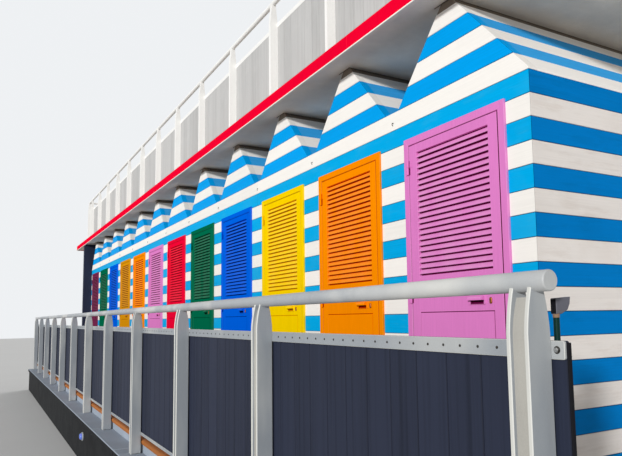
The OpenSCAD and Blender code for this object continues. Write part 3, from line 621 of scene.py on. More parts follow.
class Piece:
    """Gathers closed solids, each with a finish, and makes them one object."""

    seed: int = 7919
    crease: float = 38.0
    tip: float = 0.0003
    steep: float = 0.98

    def __init__(self, name: str) -> None:
        """Starts an empty piece.

        Args:
            name: Name of the object, which also seeds the tones of its boards.
        """
        self.name = name
        self.points: list[Point] = []
        self.faces: list[tuple[tuple[int, ...], int, float, float, bool]] = []
        self.coats: list[Coats] = []
        self.dice = random.Random(self.seed + sum(map(ord, name)))

    def add(self, corners: tuple[int, ...], coat: Coats, tone: float, edge: bool, smooth: bool) -> None:
        """Adds one face.

        Args:
            corners: Indices of its points.
            coat: Finish of the face.
            tone: Tone of the board that it belongs to, from -1 to 1.
            edge: Whether it is a narrow edge, which finishes mark with wear and dirt, some also with a
                painted highlight, the blue boards with painted shade.
            smooth: Whether it is shaded as part of a curve.
        """
        if coat not in self.coats:
            self.coats.append(coat)
        self.faces.append((corners, self.coats.index(coat), tone, float(edge), smooth))

    def loft(
        self, rings: list[list[Point]], coat: Coats, edges: tuple[int, ...] = (),
        smooth: bool = False, sides: dict[int, Coats] | None = None, worn: tuple[int, ...] = (),
    ) -> None:
        """Adds a closed solid that runs through rings of points.

        Args:
            rings: Outlines with as many points each, from one end to the other.
            coat: Finish of the solid.
            edges: Bands between rings that are narrow edges.
            smooth: Whether the sides are curved.
            sides: Other finishes for some sides of the outline.
            worn: Sides of the outline that are narrow edges.
        """
        start = len(self.points)
        count = len(rings[0])
        tone = self.dice.uniform(-1.0, 1.0)
        for outline in rings:
            self.points.extend(outline)
        for band in range(len(rings) - 1):
            low = start + band * count
            for k in range(count):
                n = (k + 1) % count
                corners = (low + k, low + n, low + count + n, low + count + k)
                self.add(corners, (sides or {}).get(k, coat), tone, band in edges or k in worn, smooth)
        last = len(self.points) - count
        self.add(tuple(range(start + count - 1, start - 1, -1)), coat, tone, False, False)
        self.add(tuple(range(last, last + count)), coat, tone, False, False)

    def plate(
        self, axis: Axis, outline: list[Flat], low: float, high: float, coat: Coats,
        edge: float = 0.001, ends: tuple[bool, bool] = (True, True), smooth: bool = False,
        mitre: Callable[[float, Flat], Flat] | None = None, worn: tuple[int, ...] = (),
    ) -> None:
        """Adds an outline drawn out along an axis, with chamfered ends.

        Args:
            axis: Direction in which it is drawn out.
            outline: Corners across that direction.
            low: Start along the axis.
            high: End along the axis.
            coat: Finish of the solid.
            edge: Width of the chamfer.
            ends: Whether the start and the end are chamfered.
            smooth: Whether the sides are curved.
            mitre: Rule that draws points back at each place along the axis.
            worn: Sides of the outline that take the edge mark: wear, and in some finishes a painted
                highlight.
        """
        small = inset(outline, edge)
        cuts = tuple(end and edge > 0 for end in ends)
        rows = [(low + edge if ends[0] else low, outline), (high - edge if ends[1] else high, outline)]
        rows = [(low, small)] * cuts[0] + rows + [(high, small)] * cuts[1]
        if mitre:
            rows = [(a, [mitre(a, p) for p in flat]) for a, flat in rows]
        bands = (0,) * cuts[0] + (len(rows) - 2,) * cuts[1]
        self.loft([[axis.place(a, p) for p in flat] for a, flat in rows], coat, bands, smooth, worn=worn)

    def board(
        self, axis: Axis, low: Point, high: Point, coat: Coats, edge: float = 0.001,
        sides: dict[int, Coats] | None = None,
    ) -> None:
        """Adds a straight board with all its edges eased.

        Args:
            axis: Direction of the board.
            low: Lowest corner.
            high: Highest corner.
            coat: Finish of the board.
            edge: Width of the eased edges.
            sides: Other finishes, by side: 0 and 4 are the low and high sides of the last
                direction across the board, 6 and 2 those of the first.
        """
        i = axis.value
        across = [k for k in range(3) if k != i]
        a, b = tuple(low[k] for k in across), tuple(high[k] for k in across)
        outline = cut_corners(a, b, edge)
        small = cut_corners((a[0] + edge, a[1] + edge), (b[0] - edge, b[1] - edge), edge)
        rows = [(low[i], small), (low[i] + edge, outline), (high[i] - edge, outline), (high[i], small)]
        rings = [[axis.place(along, p) for p in flat] for along, flat in rows]
        self.loft(rings, coat, (0, 2), sides=sides, worn=(1, 3, 5, 7))

    def turned(self, axis: Axis, centre: Flat, profile: list[Flat], coat: Coats, sides: int = 24) -> None:
        """Adds a solid turned about an axis, by pairs of place along it and radius."""
        rings = [(a, arc(centre, max(r, self.tip), 0.0, 2.0, sides)[:-1]) for a, r in profile]
        self.loft([[axis.place(a, p) for p in flat] for a, flat in rings], coat, smooth=sides > 8)

    def head(self, shape: Head, centre: Flat, face: float, coat: Coats, sides: int = 8) -> None:
        """Adds a screw head or the like on a face that looks along -Y."""
        self.turned(Axis.Y, centre, [(face - rise, r) for rise, r in shape.value], coat, sides)

    def bar(self, path: list[Point], radius: float, coat: Coats, sides: int = 8) -> None:
        """Adds a round bar bent along a path.

        Args:
            path: Points along its middle.
            radius: Radius of the bar.
            coat: Finish of the bar.
            sides: Faces around it.
        """
        rows = []
        side = Vector((0.0, 0.0, 1.0))
        for k, here in enumerate(path):
            ahead = Vector(path[min(k + 1, len(path) - 1)]) - Vector(path[max(k - 1, 0)])
            ahead.normalize()
            if abs(ahead.dot(side)) > self.steep:
                side = Vector((1.0, 0.0, 0.0))
            across = ahead.cross(side).normalized()
            side = across.cross(ahead).normalized()
            spots = arc((0.0, 0.0), radius, 0.0, 2.0, sides)[:-1]
            rows.append([tuple(Vector(here) + across * a + side * b) for a, b in spots])
        self.loft(rows, coat, smooth=True)

    def make(self, body: str, slot: str, *nodes: str) -> None:
        """Makes the object and hangs it on its body.

        Args:
            body: CAD body that it rides on.
            slot: Material slot of the record; not used.
            *nodes: CAD nodes that it stands for.
        """
        corners, slots, tones, edges, smooth = zip(*self.faces)
        mesh = bpy.data.meshes.new(self.name)
        mesh.from_pydata(self.points, [], corners)
        for coat in self.coats:
            mesh.materials.append(coat.value.material())
        mesh.polygons.foreach_set("material_index", slots)
        mesh.polygons.foreach_set("use_smooth", smooth)
        for name, values in (("tone", tones), ("edge", edges)):
            mesh.attributes.new(name, "FLOAT", "FACE").data.foreach_set("value", values)
        work = bmesh.new()
        work.from_mesh(mesh)
        bmesh.ops.recalc_face_normals(work, faces=work.faces)
        work.to_mesh(mesh)
        work.free()
        mesh.set_sharp_from_angle(angle=math.radians(self.crease))
        piece = bpy.data.objects.new(self.name, mesh)
        bpy.context.scene.collection.objects.link(piece)
        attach(piece, body)
        if nodes:
            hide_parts(*nodes)
        LOG.info("%s: %d faces, rides on %s", self.name, len(self.faces), body)


def dress(coat: Coats, *nodes: str) -> None:
    """Gives carried-over CAD nodes a finish.

    Args:
        coat: Finish that they get.
        *nodes: Names of the CAD nodes.
    """
    for node in nodes:
        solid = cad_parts[node]
        solid.data.materials.clear()
        solid.data.materials.append(coat.value.material())
        LOG.info("%s: CAD solid, finish %s", node, coat.value.name)


# The cabins


@dataclass(frozen=True)
class RowSizes:
    """Sizes that the sub-assemblies of the row share, in metres."""

    cabins: int = 12
    pitch: float = 1.150
    end_trim: float = 0.027
    board: float = 0.120
    wall: float = 0.060
    deck: float = 0.600
    eaves: float = 2.820
    soffit: float = 3.450
    near: float = 6.927
    depth: float = 2.000
    casing_w: float = 0.870
    casing_top: float = 2.717
    roof_half: float = 0.612
    roof_top_half: float = 0.047
    roof_t: float = 0.025

    @property
    def run(self) -> float:
        """Sideways run of a roof slope for each metre of rise."""
        return (self.roof_half - self.roof_top_half) / (self.soffit - self.eaves)

    @property
    def roof_rise(self) -> float:
        """Thickness of a roof slope, measured straight down."""
        return self.roof_t * math.sqrt(1.0 + 1.0 / self.run**2)

    def line(self, i: float) -> float:
        """Returns the line before cabin i, counted from 0 at the near end."""
        return self.near - self.end_trim - self.pitch * i

    def cabin(self, i: int) -> float:
        """Returns the centre line of cabin i."""
        return self.line(i + 0.5)

    def half(self, z: float) -> float:
        """Returns the half width of a roof at height z."""
        return self.roof_half - self.run * (z - self.eaves)

    def roof(self, d: float) -> float:
        """Returns the height of the roof surface at distance d from a centre line."""
        return self.eaves + (self.roof_half - d) / self.run

    def joint(self, k: int) -> float:
        """Returns the height of the joint under board course k, counted from the eaves."""
        return self.eaves + k * self.board


ROW = RowSizes()


@dataclass
class Cladding:
    """Blue and white boards on the front, the gables, the roofs and the near end."""

    front: float = 0.022
    gap: float = 0.0024
    ease: float = 0.0014
    deep: float = 0.005
    groove: float = 0.004
    corner: float = 0.008
    lap: float = 0.001
    mitre_gap: float = 0.0002
    shade_in: float = 0.005
    shade_back: float = 0.002
    core_drop: float = 0.017
    core_gap: float = 0.002
    roof_groove: Flat = (0.006, 0.016)
    end_groove: float = 0.012
    packer: float = 0.048
    packer_set: float = 0.003
    packer_ease: float = 0.0005
    bead_r: float = 0.003
    bead_sink: float = 0.4
    bead_over: float = 0.055
    lowest: int = -20
    gable_courses: int = 5
    foot: float = 0.427
    hook_x: float = 0.012
    hook_z: float = 0.050
    hook_r: float = 0.009
    hook_out: float = 0.002
    hook_drop: float = 0.008
    hook_wire: float = 0.0018

    def coat(self, k: int, white: Coats, blue: Coats) -> Coats:
        """Returns the paint of course k, counted from the eaves."""
        return white if k % 2 == 0 else blue

    def band(self, k: int) -> Flat:
        """Returns the bottom and the top of the boards of course k."""
        low, high = max(ROW.joint(k), self.foot), ROW.joint(k + 1)
        return (low + self.gap / 2, min(high - self.gap / 2, ROW.soffit - self.packer))

    def front_mitre(self, depth: float, spot: Flat) -> Flat:
        """Returns a point of a front board, drawn back at the near corner."""
        return (min(spot[0], ROW.near - depth - self.mitre_gap), spot[1])

    def end_mitre(self, x: float, spot: Flat) -> Flat:
        """Returns a point of an end board, drawn back at the near corner."""
        return (max(spot[0], ROW.near - x + self.mitre_gap), spot[1])

    def face(self, piece: Piece, outline: list[Flat], coat: Coats, solid: bool = False) -> None:
        """Adds a board of the front, mitred at the near corner, or one as deep as the wall."""
        depth, mitre = (ROW.wall, None) if solid else (self.front, self.front_mitre)
        piece.plate(Axis.Y, outline, 0.0, depth, coat, self.ease, (True, False), mitre=mitre)

    def shadow(self, piece: Piece, low: float, high: float, z: float) -> None:
        """Adds the dark bottom of the groove between two courses of the front, a sheet of painted shade."""
        outline = rectangle((low + self.lap, z - self.groove), (high - self.lap, z + self.groove))
        piece.plate(Axis.Y, outline, self.deep, self.front - self.shade_back, Coats.JOINT, 0.0)

    def piers(self) -> None:
        """Builds the boards and the lining beside the doorways."""
        piece = Piece("pier_boards")
        side = (ROW.pitch - ROW.casing_w) / 2.0
        for i in range(ROW.cabins + 1):
            low = -ROW.near if i == ROW.cabins else ROW.line(i) - side
            high = ROW.near if i == 0 else ROW.line(i) + side
            core = high - self.front - self.lap if i == 0 else high
            top = ROW.casing_top - self.core_drop
            piece.board(Axis.Z, (low, self.front, self.foot), (core, ROW.wall, top), Coats.PRIMER)
            for k in range(self.lowest, -1):
                bottom, top = self.band(k)
                coat = self.coat(k, Coats.WHITE_X, Coats.BLUE_HEAD)
                self.face(piece, rectangle((low, bottom), (high, top)), coat)
                self.shadow(piece, low, high - (self.corner if i == 0 else 0.0), ROW.joint(k + 1))
        piece.make("row", "striped_boards", "front_piers")

    def header(self) -> None:
        """Builds the two courses over the doorways, notched over the casings."""
        piece = Piece("header_boards")
        joints = [ROW.near, ROW.line(3), ROW.line(6), ROW.line(9), -ROW.near]
        casing, notch = ROW.casing_w / 2.0, ROW.casing_top
        shoulder = ROW.cabin(0) + ROW.half(ROW.joint(1))
        outer = ROW.roof(ROW.near - ROW.cabin(0))
        for high, low in zip(joints, joints[1:]):
            bottom, top = self.band(-1)
            outline = [(low, top), (low, bottom)]
            for x in (ROW.cabin(i) for i in reversed(range(ROW.cabins)) if low < ROW.cabin(i) < high):
                a, b = x - casing, x + casing
                outline += [(a, bottom), (a, notch), (b, notch), (b, bottom)]
            self.face(piece, outline + [(high, bottom), (high, top)], Coats.BLUE_HEAD)
            self.shadow(piece, low, high - (self.corner if high == ROW.near else 0.0), ROW.eaves)
            bottom, top = self.band(0)
            right = [(high, outer), (shoulder, top)] if high == ROW.near else [(high, top)]
            left = [(-shoulder, top), (low, outer)] if low == -ROW.near else [(low, top)]
            self.face(piece, [(low, bottom), (high, bottom)] + right + left, Coats.WHITE_X, True)
        core = (ROW.near - self.front - self.lap, ROW.wall, ROW.eaves)
        piece.board(Axis.X, (self.lap - ROW.near, self.front, ROW.casing_top), core, Coats.PRIMER)
        piece.make("row", "striped_boards", "front_header")

    def gables(self) -> None:
        """Builds the gable boards, with packing in painted shade and a dark bead of painted contact shadow
        under the soffit.
        """
        piece = Piece("gable_boards")
        r, out = self.bead_r, -self.bead_r * self.bead_sink
        for x in (ROW.cabin(i) for i in range(ROW.cabins)):
            for k in range(1, self.gable_courses):
                bottom, top = self.band(k)
                a, b = ROW.half(ROW.joint(k)), ROW.half(top)
                outline = [(x - a, bottom), (x + a, bottom), (x + b, top), (x - b, top)]
                self.face(piece, outline, self.coat(k, Coats.WHITE_X, Coats.BLUE_X), True)
                self.shadow(piece, x - a + self.shade_in, x + a - self.shade_in, ROW.joint(k))
            # The packing is grey-brown: painted shade under the soffit.
            low, top = ROW.soffit - self.packer + self.packer_ease, ROW.soffit
            a, b = ROW.half(low), ROW.half(top)
            outline = [(x - a, low), (x + a, low), (x + b, top), (x - b, top)]
            piece.plate(Axis.Y, outline, self.packer_set, ROW.wall, Coats.PACKER, self.packer_ease)
            # Dark bead along the soffit: painted contact shadow.
            z = top + out
            piece.bar([(x - b - self.bead_over, out, z), (x + b, out, z)], r, Coats.MASTIC)
            for side in (x - b + out, x + b - out):
                piece.bar([(side, out, z), (side, ROW.depth, z)], r, Coats.MASTIC)
        piece.make("row", "striped_boards", "gables")

    def roofs(self) -> None:
        """Builds the boarded slopes, with their courses level with the gables'."""
        piece = Piece("roof_boards")
        rise = ROW.roof_rise
        inner = (ROW.roof_half - ROW.run * rise, ROW.eaves)
        for i in range(ROW.cabins):
            for turn in (1.0, -1.0):
                outer = (i == 0 and turn > 0) or (i == ROW.cabins - 1 and turn < 0)
                eave = ROW.pitch / 2.0 + (ROW.end_trim if outer else -self.lap)
                for k in range(self.gable_courses):
                    bottom, top = self.band(k)
                    board = self.slope(ROW.half(bottom) if k else eave, ROW.half(top), 0.0, rise)
                    if k == 0 and outer:
                        board[3:] = [inner, (eave, ROW.eaves)]
                    # The slopes wear lighter copies of the paints, as painted light.
                    self.lay(piece, i, turn, board, ROW.depth, self.coat(k, Coats.WHITE_Y, Coats.BLUE_Y))
                    if k:
                        # Grooves between the courses get a dark sheet of painted shade.
                        a, b = (ROW.half(ROW.joint(k) + side) for side in (-self.groove, self.groove))
                        groove = self.slope(a, b, *self.roof_groove)
                        self.lay(piece, i, turn, groove, ROW.depth - self.lap, Coats.JOINT, 0.0)
                # The packing on the slopes is grey-brown: painted shade under the soffit.
                packing = self.slope(ROW.half(ROW.soffit - self.packer), ROW.half(ROW.soffit), 0.0, rise)
                self.lay(piece, i, turn, packing, ROW.depth, Coats.PACKER)
        piece.make("row", "striped_boards", "roof_slopes")

    def slope(self, a: float, b: float, top: float, under: float) -> list[Flat]:
        """Returns a layer of a roof, between two distances from its middle and two depths."""
        return [(d, ROW.roof(d) - depth) for d, depth in ((a, top), (b, top), (b, under), (a, under))]

    def lay(
        self, piece: Piece, i: int, turn: float, outline: list[Flat], end: float, coat: Coats,
        edge: float = EASE.slim,
    ) -> None:
        """Adds a layer to the roof of cabin i, on the +X side where turn is 1, by distance and height."""
        flat = [(ROW.cabin(i) + turn * d, z) for d, z in outline]
        piece.plate(Axis.Y, flat, ROW.wall, end, coat, edge)

    def near_end(self) -> None:
        """Builds the boards of the near end wall, up to the eaves."""
        piece = Piece("end_wall_boards")
        back, x = ROW.near - self.front, ROW.near - self.deep
        for k in range(self.lowest, 0):
            bottom, top = self.band(k)
            outline = rectangle((0.0, bottom), (ROW.depth, top))
            # The end wall wears darker copies of the paints: partly weathering, partly painted shade.
            coat = self.coat(k, Coats.WHITE_END, Coats.BLUE_END)
            piece.plate(Axis.X, outline, back, ROW.near, coat, self.ease, (False, True), mitre=self.end_mitre)
            # Grooves between the courses get a dark sheet of painted shade.
            if k < -1:
                z, start, end = ROW.joint(k + 1), self.deep + self.lap, ROW.depth - self.lap
                groove = rectangle((start, z - self.groove), (end, z + self.groove))
                piece.plate(Axis.X, groove, x - self.end_groove, x, Coats.JOINT, 0.0)
        low = (ROW.near - ROW.wall, ROW.wall + self.lap, self.foot)
        piece.board(Axis.Z, low, (back, ROW.depth, ROW.eaves - self.core_gap), Coats.PRIMER)
        piece.make("row", "striped_boards", "near_end_wall")

    def hooks(self) -> None:
        """Builds the small hooks on the white course between the doorways."""
        piece = Piece("front_hooks")
        z, r, drop = ROW.eaves + self.hook_z, self.hook_r, self.hook_drop
        for x in (ROW.line(i) + self.hook_x for i in range(1, ROW.cabins)):
            piece.head(Head.HOOK_ROSE, (x, z), 0.0, Coats.DARK_STEEL, 10)
            angles = (math.pi * n / 8.0 for n in range(10))
            curl = [(x, -self.hook_out - drop * math.sin(a), z - drop + r * math.cos(a)) for a in angles]
            piece.bar([(x, 0.0, z - drop + r)] + curl, self.hook_wire, Coats.DARK_STEEL)
        piece.make("row", "hinge_steel")

    def build(self) -> None:
        """Builds all the cladding."""
        for part in (self.piers, self.header, self.gables, self.roofs, self.near_end, self.hooks):
            part()


# The doors


class DoorColour(Enum):
    """Paint of a doorway, by the word that its material slot begins with."""

    PINK = "pink"
    ORANGE = "orange"
    YELLOW = "yellow"
    BLUE = "blue"
    GREEN = "green"
    RED = "red"
    AMBER = "amber"
    PLUM = "plum"


@dataclass
class Doorway:
    """One doorway: casing, louvred leaf, hinges, pull and lock."""

    number: int
    colour: DoorColour
    face: float = 0.045
    proud: float = 0.014
    gap: float = 0.005
    lift: float = 0.015
    leaf_t: float = 0.040
    leaf_set: float = 0.003
    rebate: float = 0.005
    rebate_d: float = 0.010
    seam: float = 0.001
    stop_h: float = 0.012
    stop_gap: float = 0.0015
    stop_lap: float = 0.002
    stile: float = 0.074
    top_rail: float = 0.053
    ease: float = 0.0014
    blades: int = 22
    blade_pitch: float = 0.0344
    blade_t: float = 0.0092
    blade_drop: float = 0.019
    blade_d: float = 0.016
    blade_gap: float = 0.010
    blade_set: float = 0.002
    sheet_gap: float = 0.0015
    sheet_t: float = 0.0045
    tenon: float = 0.004
    lock_rail: float = 0.217
    bottom_rail: float = 0.105
    groove: float = 0.005
    groove_d: float = 0.004
    hinge_r: float = 0.007
    hinge_len: float = 0.090
    hinge_plate: float = 0.030
    hinge_t: float = 0.0025
    hinge_slit: Flat = (0.0002, 0.0006)
    hinge_neck: float = 0.82
    hinge_screws: Flat = (0.28, 0.72)
    hinge_screw_out: float = 0.66
    pad_gap: float = 0.0008
    pad_w: float = 0.0045
    pad_t: float = 0.003
    hinge_drop: float = 0.138
    hinge_step: float = 0.798
    pull_drop: float = 1.028
    pull_in: float = 0.200
    pull_w: float = 0.134
    pull_h: float = 0.054
    pull_t: float = 0.005
    hood_r: float = 0.023
    hood_t: float = 0.004
    hood_in: float = 0.010
    hood_cheek: float = 0.003
    hood_steps: int = 10
    pull_tone: float = 0.2
    corner: float = 0.010
    pocket_in: float = 0.014
    lip: float = 0.003
    pocket_d: float = 0.014
    lining: float = 0.002
    lining_in: float = 0.0005
    lining_d: Flat = (0.0025, 0.0002)
    lock_in: float = 0.097
    lock_drop: float = 0.007
    lock_h: float = 0.034
    lock_t: float = 0.006
    lock_in_rim: float = 0.0005
    plug_up: float = 0.8
    keyhole: float = 0.004
    keyhole_out: Flat = (0.0075, 0.0070)

    def __post_init__(self) -> None:
        """Works out the places that its pieces share."""
        self.name = f"door_{self.number:02d}"
        self.coat = Coats[self.colour.name]
        # The door's dark copy of its paint, laid wherever shade is painted on the leaf and the pull.
        self.shade = Coats[self.colour.name + "_DEEP"]
        self.middle = ROW.cabin(self.number - 1)
        self.half = ROW.casing_w / 2.0 - self.face - self.gap
        self.left = self.middle - self.half + self.stile
        self.right = self.middle + self.half - self.stile
        self.front = self.leaf_set - self.proud
        self.back = self.front + self.leaf_t
        self.foot = ROW.deck + self.lift
        self.top = ROW.casing_top - self.face - self.gap
        self.panel_low = self.foot + self.bottom_rail
        self.field_top = self.top - self.top_rail
        self.field_low = self.field_top - self.blades * self.blade_pitch - self.blade_gap
        self.panel_top = self.field_low - self.lock_rail
        self.hinges = [self.top - self.hinge_drop - k * self.hinge_step for k in range(3)]
        self.pull_x = self.middle + self.half - self.pull_in
        self.pull_z = ROW.casing_top - self.pull_drop
        w, h = self.pull_w / 2.0 - self.pocket_in, self.pull_h / 2.0 - self.lip
        self.pocket = ((self.pull_x - w, self.pull_z - h), (self.pull_x + w, self.pull_z - self.lip))

    def casing(self) -> None:
        """Builds the casing, mitred at its head, and the fixed halves of the hinges."""
        piece = Piece(f"{self.name}_casing")
        x, w, low, top = self.middle, ROW.casing_w / 2.0, ROW.deck, ROW.casing_top
        n, under = w - self.face, top - self.face
        # Side 1 of each jamb takes the edge mark: a paler painted highlight along the reveal.
        jambs = (
            ([(x - w, low), (x - n, low), (x - n, under), (x - w, top)], (1,)),
            ([(x + n, low), (x + w, low), (x + w, top), (x + n, under)], (1,)),
            ([(x - w, top), (x - n, under), (x + n, under), (x + w, top)], ()),
        )
        for outline, worn in jambs:
            piece.plate(Axis.Y, outline, -self.proud, ROW.wall, self.coat, EASE.full, worn=worn)
        lap = self.stop_lap
        stop = (x - n - lap, self.back + self.stop_gap, under - self.stop_h)
        piece.board(Axis.X, stop, (x + n + lap, ROW.wall - lap, under + lap), self.coat)
        for z in self.hinges:
            self.knuckle(piece, z - self.hinge_len / 2.0, z - self.hinge_slit[0], -1.0)
        piece.make("row", f"{self.colour.value}_paint", "door_casings", "door_hinges")

    def knuckle(self, piece: Piece, low: float, high: float, side: float) -> None:
        """Adds one half of a hinge.

        Args:
            piece: Piece that takes it.
            low: Lower end of the knuckle.
            high: Upper end of the knuckle.
            side: -1 for the half on the casing, 1 for the half on the leaf.
        """
        r, x, reach = self.hinge_r, self.middle - self.half - self.gap / 2.0, side * self.hinge_plate
        neck, ease = r * self.hinge_neck, EASE.middle
        profile = [(low, neck), (low + ease, r), (high - ease, r), (high, neck)]
        piece.turned(Axis.Z, (x, -self.proud - r), profile, self.coat, 16)
        seat = -self.proud if side < 0 else self.front
        a, b = sorted((x, x + reach))
        piece.board(Axis.Z, (a, seat - self.hinge_t, low), (b, seat, high), self.coat, EASE.slim)
        for share in self.hinge_screws:
            spot = (x + reach * self.hinge_screw_out, low + (high - low) * share)
            piece.head(Head.HINGE_SCREW, spot, seat, self.coat)

    def leaf(self) -> None:
        """Builds the leaf: stiles, rails, blades, panel and the moving hinge halves."""
        piece = Piece(f"{self.name}_louvred_leaf")
        x, w, y0, y1, left, right = self.middle, self.half, self.front, self.back, self.left, self.right
        foot, top, lip = self.foot, self.top, x + w - self.rebate
        # The outer sides of the stiles and the strip in the rebate wear the dark copy: a painted shadow line
        # beside the jambs.
        piece.board(Axis.Z, (x - w, y0, foot), (left, y1, top), self.coat, self.ease, {6: self.shade})
        piece.board(Axis.Z, (right, y0, foot), (lip, y1, top), self.coat, self.ease, {2: self.shade})
        low, high = (lip - self.seam, y0 + self.rebate_d, foot), (x + w, y1, top)
        piece.board(Axis.Z, low, high, self.shade, EASE.slim)
        for low, high in ((self.field_top, top), (foot, self.panel_low)):
            piece.board(Axis.X, (left, y0, low), (right, y1, high), self.coat, EASE.small)
        self.rail_with_pocket(piece)
        t, d, rise, y, tenon = self.blade_t, self.blade_d, self.blade_drop, y0 + self.blade_set, self.tenon
        blade = [
            (y + 0.0015, 0.0008), (y, 0.0026), (y, t - 0.0018), (y + 0.0016, t + 0.0012),
            (y + d - 0.0015, rise + t - 0.0010), (y + d, rise + t - 0.0028), (y + d, rise + 0.001),
        ]
        for k in range(self.blades):
            z = self.field_low + self.blade_gap + k * self.blade_pitch
            rings = [[(end, a, z + b) for a, b in blade] for end in (left - tenon, right + tenon)]
            # The blade faces take the edge mark, which lays a paler painted highlight on them.
            piece.loft(rings, self.coat, worn=(0, 1, 2, 3))
        # The sheet behind the blades is in the dark copy: painted shade in the louvre gaps.
        sheet = y0 + d + self.sheet_gap
        low = (left - tenon, sheet, self.field_low - tenon)
        high = (right + tenon, sheet + self.sheet_t, self.field_top + tenon)
        piece.board(Axis.Z, low, high, self.shade, EASE.fine)
        g, bottom, head = self.groove, self.panel_low, self.panel_top
        panel = rectangle((left + g, bottom + g), (right - g, head - g))
        piece.plate(Axis.Y, panel, y0, y1, self.coat, 0.0)
        # The back of the panel's groove is in the dark copy: painted shade.
        low = (left - self.seam, y0 + self.groove_d, bottom - self.seam)
        high = (right + self.seam, y1 - self.groove_d, head + self.seam)
        piece.board(Axis.Z, low, high, self.shade, EASE.hair)
        edge, reach = x - w - self.gap / 2.0 + self.hinge_r + self.pad_gap, self.hinge_len / 2.0
        for z in self.hinges:
            self.knuckle(piece, z + self.hinge_slit[1], z + reach, 1.0)
            # Beside each knuckle a strip in the dark copy: a painted shadow line of the hinge.
            low, high = (edge, y0 - self.pad_t, z - reach), (edge + self.pad_w, y0, z + reach)
            piece.board(Axis.Z, low, high, self.shade, EASE.fine)
        piece.make(self.name, f"{self.colour.value}_paint", f"{self.name}_leaf")

    def rail_with_pocket(self, piece: Piece) -> None:
        """Adds the lock rail, built round the finger pocket and its lining in painted shade.

        Args:
            piece: Piece that takes it.
        """
        left, right, low, high = self.left, self.right, self.panel_top, self.field_low
        (a, b), (c, d) = self.pocket
        y0, deep, t = self.front, self.front + self.pocket_d, self.lining
        faces = ((left, low, a, high), (c, low, right, high), (a, low, c, b), (a, d, c, high))
        for x0, z0, x1, z1 in faces:
            piece.plate(Axis.Y, rectangle((x0, z0), (x1, z1)), y0, deep, self.coat, 0.0)
        back = rectangle((left, low), (right, high))
        piece.plate(Axis.Y, back, deep, self.back, self.coat, EASE.small, (False, True))
        # The pocket's lining and sides are in the dark copy: painted shade inside the pocket.
        g, (start, end) = self.lining_in, self.lining_d
        lining = cut_corners((a + g, b + g), (c - g, d - g), EASE.fine)
        piece.plate(Axis.Y, lining, deep - start, deep - end, self.shade, 0.0)
        for x0, z0, x1, z1 in ((a, b, c, b + t), (a, d - t, c, d), (a, b, a + t, d), (c - t, b, c, d)):
            side = cut_corners((x0, z0), (x1, z1), EASE.hair)
            piece.plate(Axis.Y, side, y0 + self.seam, deep - self.seam, self.shade, 0.0)

    def pull(self) -> None:
        """Builds the hooded pull and the lock cylinder beside it."""
        piece = Piece(f"{self.name}_pull")
        self.frame(piece)
        self.hood(piece)
        x, z, y = self.middle + self.half - self.lock_in, self.pull_z - self.lock_drop, self.front
        r, k = self.lock_h / 4.0, self.keyhole
        stadium = rounded((x - r, z - 2 * r), (x + r, z + 2 * r), r - self.lock_in_rim)
        piece.plate(Axis.Y, stadium, y - self.lock_t, y, Coats.BRONZE, EASE.middle, (True, False), True)
        z += r * self.plug_up
        piece.head(Head.LOCK_PLUG, (x, z), y, Coats.BRONZE, 16)
        slot = rectangle((x - k / 5.0, z - k), (x + k / 5.0, z + k))
        start, end = self.keyhole_out
        piece.plate(Axis.Y, slot, y - start, y - end, Coats.BLACK, 0.0)
        piece.make(self.name, f"{self.colour.value}_paint", f"{self.name}_handle")

    def frame(self, piece: Piece) -> None:
        """Adds the plate of the pull, with a window over the pocket.

        Args:
            piece: Piece that takes it.
        """
        x, z, w, h = self.pull_x, self.pull_z, self.pull_w / 2.0, self.pull_h / 2.0
        back, face, ease = self.front, self.front - self.pull_t, self.ease
        rim, window = rounded((x - w, z - h), (x + w, z + h), self.corner), rounded(*self.pocket, self.lining)
        rows = [
            (rim, back), (rim, face + ease), (inset(rim, ease), face),
            (inset(window, -EASE.slim), face), (window, face + EASE.slim), (window, back),
        ]
        start, count = len(piece.points), len(rim)
        for outline, y in rows:
            piece.points.extend((a, y, b) for a, b in outline)
        for band in range(len(rows)):
            here, after = start + band * count, start + (band + 1) % len(rows) * count
            for k in range(count):
                n = (k + 1) % count
                corners = (here + k, here + n, after + n, after + k)
                piece.add(corners, self.coat, self.pull_tone, band in (1, 3), band == 1)

    def hood(self, piece: Piece) -> None:
        """Adds the quarter round hood over the window.

        Args:
            piece: Piece that takes it.
        """
        x, z, face, r = self.pull_x, self.pull_z - self.lip, self.front - self.pull_t, self.hood_r
        t, w = self.hood_t, self.pull_w / 2.0 - self.hood_in
        outer = arc((face, z), r, 1.0, 0.5, self.hood_steps)
        shell = outer + arc((face, z), r - t, 0.5, 1.0, self.hood_steps)
        # The inside of the hood is in the dark copy, painted shade; its top faces take the edge mark, a
        # painted highlight.
        lining = {k: self.shade for k in range(len(outer), len(shell) - 1)}
        ends = (x - w + self.hood_cheek, x + w - self.hood_cheek)
        rows = [[(side, a, b) for a, b in shell] for side in ends]
        piece.loft(rows, self.coat, smooth=True, sides=lining, worn=(3, 4, 5, 6, 7))
        for low in (x - w, x + w - t):
            piece.plate(Axis.X, outer + [(face, z)], low, low + t, self.coat, EASE.small)

    def build(self) -> None:
        """Builds the doorway."""
        for part in (self.casing, self.leaf, self.pull):
            part()


# The walkway


